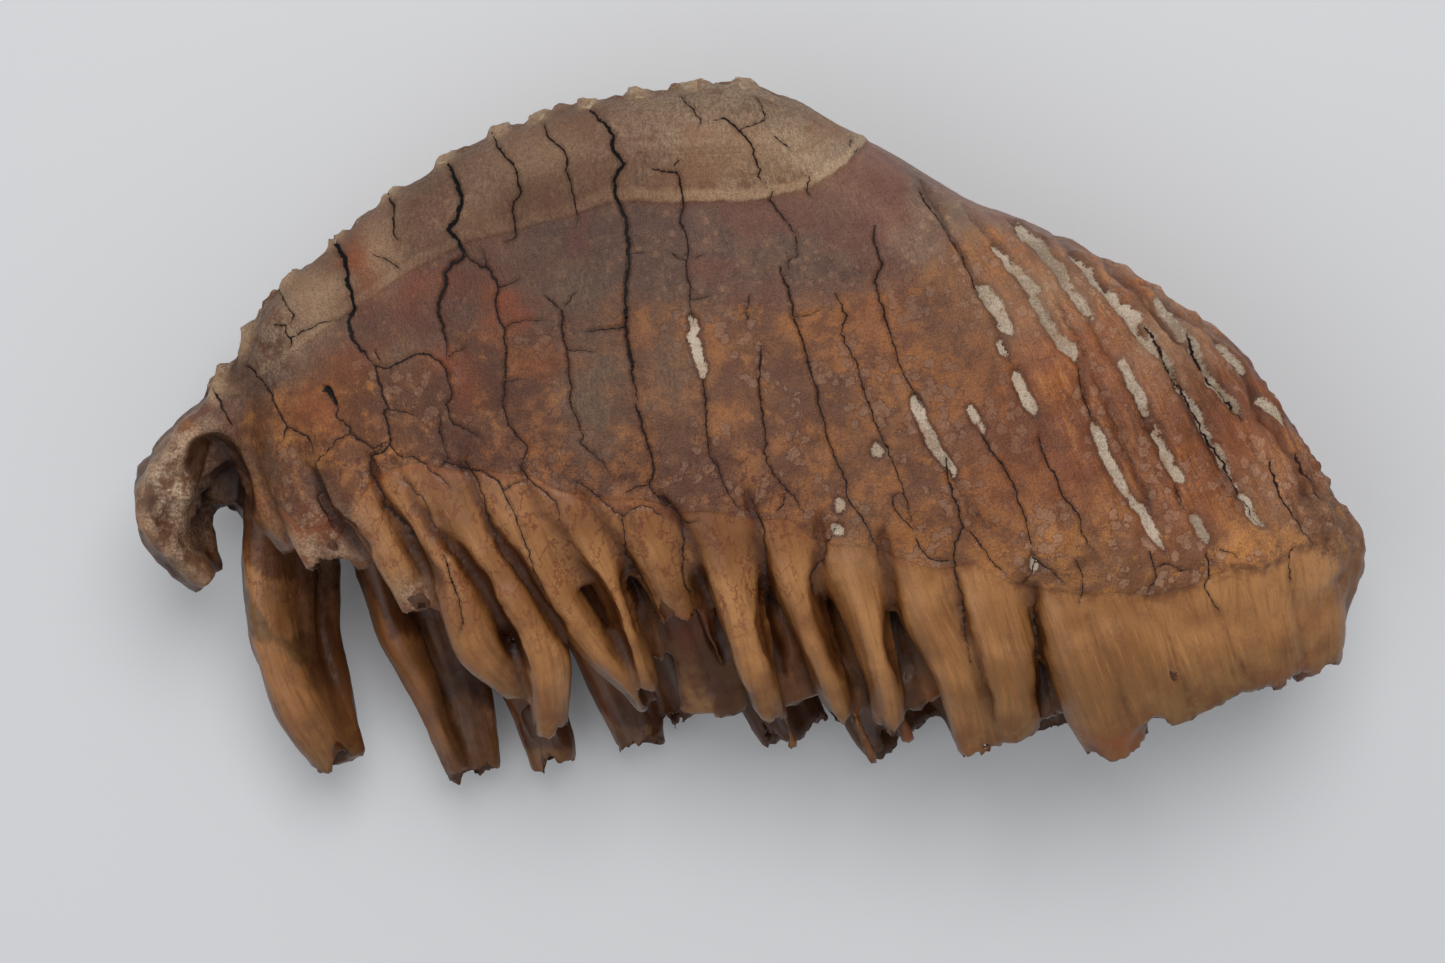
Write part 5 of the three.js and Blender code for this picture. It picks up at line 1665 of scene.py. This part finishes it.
# %% Rings of edges, one for each pocket
RING_STEPS = 64
RING_HALF_WIDTH, RING_DEPTH_SHARE, RING_SUNK_BY = 2.4, 0.72, 0.65
ring_corners, ring_edges = [], []
for middle_plate in POCKET_PLATES:
    tx, ty, bx, by, half_depth = fan_at(middle_plate)
    up = np.array([tx - bx, ty - by]) / np.hypot(tx - bx, ty - by)
    beside_row = np.array([up[1], -up[0]])
    turn = np.linspace(0, 2 * np.pi, RING_STEPS, endpoint=False)
    flat = np.sign(np.cos(turn)) * np.abs(np.cos(turn)) ** 0.55 * RING_HALF_WIDTH
    deep = np.sin(turn) * (half_depth * RING_DEPTH_SHARE)
    # The ridge lies on the face, which curves down towards its near and far ends.
    drop = 1 - (1 - np.abs(deep / half_depth) ** CHEWED_SQUARENESS) ** (1 / CHEWED_SQUARENESS)
    drop = drop * np.hypot(tx - bx, ty - by) / 2
    across = flat[:, None] * beside_row + np.array([tx, ty]) - up * drop[:, None]
    first = len(ring_corners)
    ring_corners += np.column_stack([across, MID_HEIGHT + deep]).tolist()
    ring_edges += [(first + i, first + (i + 1) % RING_STEPS) for i in range(RING_STEPS)]
ring_corners = onto_field(np.array(ring_corners), 6)
# The rings go along with the relief of the skin under them.
under_ring = [np.argmin(((points - corner) ** 2).sum(1)) for corner in ring_corners]
ring_corners = ring_corners + normal[under_ring] * (relief[under_ring, None] - RING_SUNK_BY)
rings = bpy.data.meshes.new("rings")
rings.from_pydata((ring_corners * MM).tolist(), ring_edges, [])
ridges = grown("enamel_ridges", ridge_group, rings, {
    "Thickness": 0.8 * MM, "Roughness": 0.9 * MM, "Seed": 4.0, "Finish": enamel_finish})
ridge_corners = net_of(ridges.data).corners
ridge_corners = np.clip(ridge_corners, BOX_LOW + ROOM, BOX_HIGH - ROOM)
ridges.data.vertices.foreach_set("co", (ridge_corners * MM).astype(np.float32).ravel())
ridges.data.update()
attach(ridges, "root")
print("enamel ridges:", len(ridges.data.polygons), "faces")

# %% [markdown]
# ## Crumbs of cement
#
# Old cement crumbles. Small grains are scattered over the strips, and each is turned and sized by a seeded
# number.

# %% The crumb group
crumb_group, crumb_net, crumb_inputs = node_group("cement crumbs", {
    "Density": "NodeSocketFloat", "Seed": "NodeSocketInt", "Finish": "NodeSocketMaterial"})
scattered = crumb_net.add("GeometryNodeDistributePointsOnFaces", {}, {
    "Mesh": crumb_inputs["Geometry"], "Density": crumb_inputs["Density"], "Seed": crumb_inputs["Seed"]})
grain_mesh = crumb_net.add("GeometryNodeMeshIcoSphere", {}, {"Radius": 0.34 * MM, "Subdivisions": 1})
turned = crumb_net.add("FunctionNodeRandomValue", {"data_type": "FLOAT_VECTOR"}, {
    1: (6.28, 6.28, 6.28), "Seed": crumb_inputs["Seed"]})
sized = crumb_net.add("FunctionNodeRandomValue", {"data_type": "FLOAT_VECTOR"}, {
    0: (0.35, 0.35, 0.3), 1: (1.1, 1.0, 0.8), "Seed": crumb_inputs["Seed"]})
grains = crumb_net.add("GeometryNodeInstanceOnPoints", {}, {
    "Points": scattered, "Instance": grain_mesh, "Rotation": turned, "Scale": sized})
grains = crumb_net.add("GeometryNodeRealizeInstances", {}, {"Geometry": grains})
grains = crumb_net.add("GeometryNodeSetMaterial", {}, {
    "Geometry": grains, "Material": crumb_inputs["Finish"]})
finish_group(crumb_group, grains)

cement_finish, cement_net, cement_shader = new_finish("dry cement")
crumb_fine = (cement_net.add("ShaderNodeTexCoord", {}, {}, "Object") * 1000).noise(1.5, 2, 0.6)
plug(cement_net.tree, cement_shader.inputs["Base Color"], crumb_fine.ramp(0.35, 0.65).mix(
    tone(140, 121, 102), tone(182, 166, 147)))
cement_shader.inputs["Roughness"].default_value = 0.9

# %% [markdown]
# Grains grow only well inside a strip and away from the cracks.

# %% Grow the crumbs
on_cement = (cement[skin.triangles] > 0.75).all(1) & (cement_edge[skin.triangles].max(1) < -0.35)
on_cement &= (crack_distance - crack_half)[skin.triangles].min(1) > 0.4
used, strip_faces = np.unique(skin.triangles[on_cement], return_inverse=True)
strips = mesh_from("strips", skin.corners[used], strip_faces.reshape(-1, 3))
crumbs = grown("cement_crumbs", crumb_group, strips, {"Density": 0.7e6, "Seed": 5, "Finish": cement_finish})
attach(crumbs, "root")
print("cement crumbs:", len(crumbs.data.polygons), "faces on", int(on_cement.sum()), "triangles")

# %% [markdown]
# ## Camera, floor and light
#
# The camera looks straight down from three quarters of a metre. The floor is plain and pale. One large soft
# light stands towards the chewing edge, so the cap is lit and the roots' undersides are dark.

# %% Camera
FOCAL_PIXELS, PHOTO_WIDTH, SENSOR_WIDTH = 2730, 1445, 36
scene = bpy.context.scene
camera = bpy.data.objects.new("camera", bpy.data.cameras.new("camera"))
camera.location = (-ORIGIN[0] * MM, -ORIGIN[1] * MM, EYE_HEIGHT * MM)
camera.data.sensor_width = SENSOR_WIDTH
camera.data.lens = FOCAL_PIXELS / PHOTO_WIDTH * SENSOR_WIDTH
camera.data.clip_start = 0.01
scene.collection.objects.link(camera)
scene.camera = camera

# %% [markdown]
# The floor is a square of four metres, on which the tooth lies.

# %% Floor
FLOOR_CORNERS = [(-2, -2, 0), (2, -2, 0), (2, 2, 0), (-2, 2, 0)]  # in metres
floor_mesh = bpy.data.meshes.new("floor")
floor_mesh.from_pydata(FLOOR_CORNERS, [], [(0, 1, 2, 3)])
floor = bpy.data.objects.new("floor", floor_mesh)
scene.collection.objects.link(floor)
floor_finish, _, floor_shader = new_finish("pale floor")
floor_shader.inputs["Base Color"].default_value = (0.80, 0.81, 0.825, 1)
floor_shader.inputs["Roughness"].default_value = 0.6
floor_mesh.materials.append(floor_finish)

# %% [markdown]
# A light has a place, a point that it shines at, a size in millimetres and a power in watts. The room
# itself gives a weak even light.

# %% Lights
def soft_light(name, place_mm, aim_mm, size_mm, power):
    light = bpy.data.lights.new(name, "AREA")
    light.shape = "DISK"
    light.size = size_mm * MM
    light.energy = power
    thing = bpy.data.objects.new(name, light)
    start_at = Vector(place_mm) * MM
    thing.location = start_at
    thing.rotation_euler = (Vector(aim_mm) * MM - start_at).to_track_quat("-Z", "Y").to_euler()
    scene.collection.objects.link(thing)


soft_light("high soft light", (60, 430, 1050), (0, 0, 30), 700, 5.0)
soft_light("weak side light", (-500, -350, 1000), (0, 0, 30), 900, 1.7)
world = bpy.data.worlds.new("room")
world.use_nodes = True
room_light = world.node_tree.nodes["Background"]
room_light.inputs["Color"].default_value = (0.95, 0.97, 1, 1)
room_light.inputs["Strength"].default_value = 0.40
scene.world = world
scene.view_settings.view_transform = "Standard"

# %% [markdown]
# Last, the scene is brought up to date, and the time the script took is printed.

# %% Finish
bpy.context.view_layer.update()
print("script took", round(time.time() - started), "s")
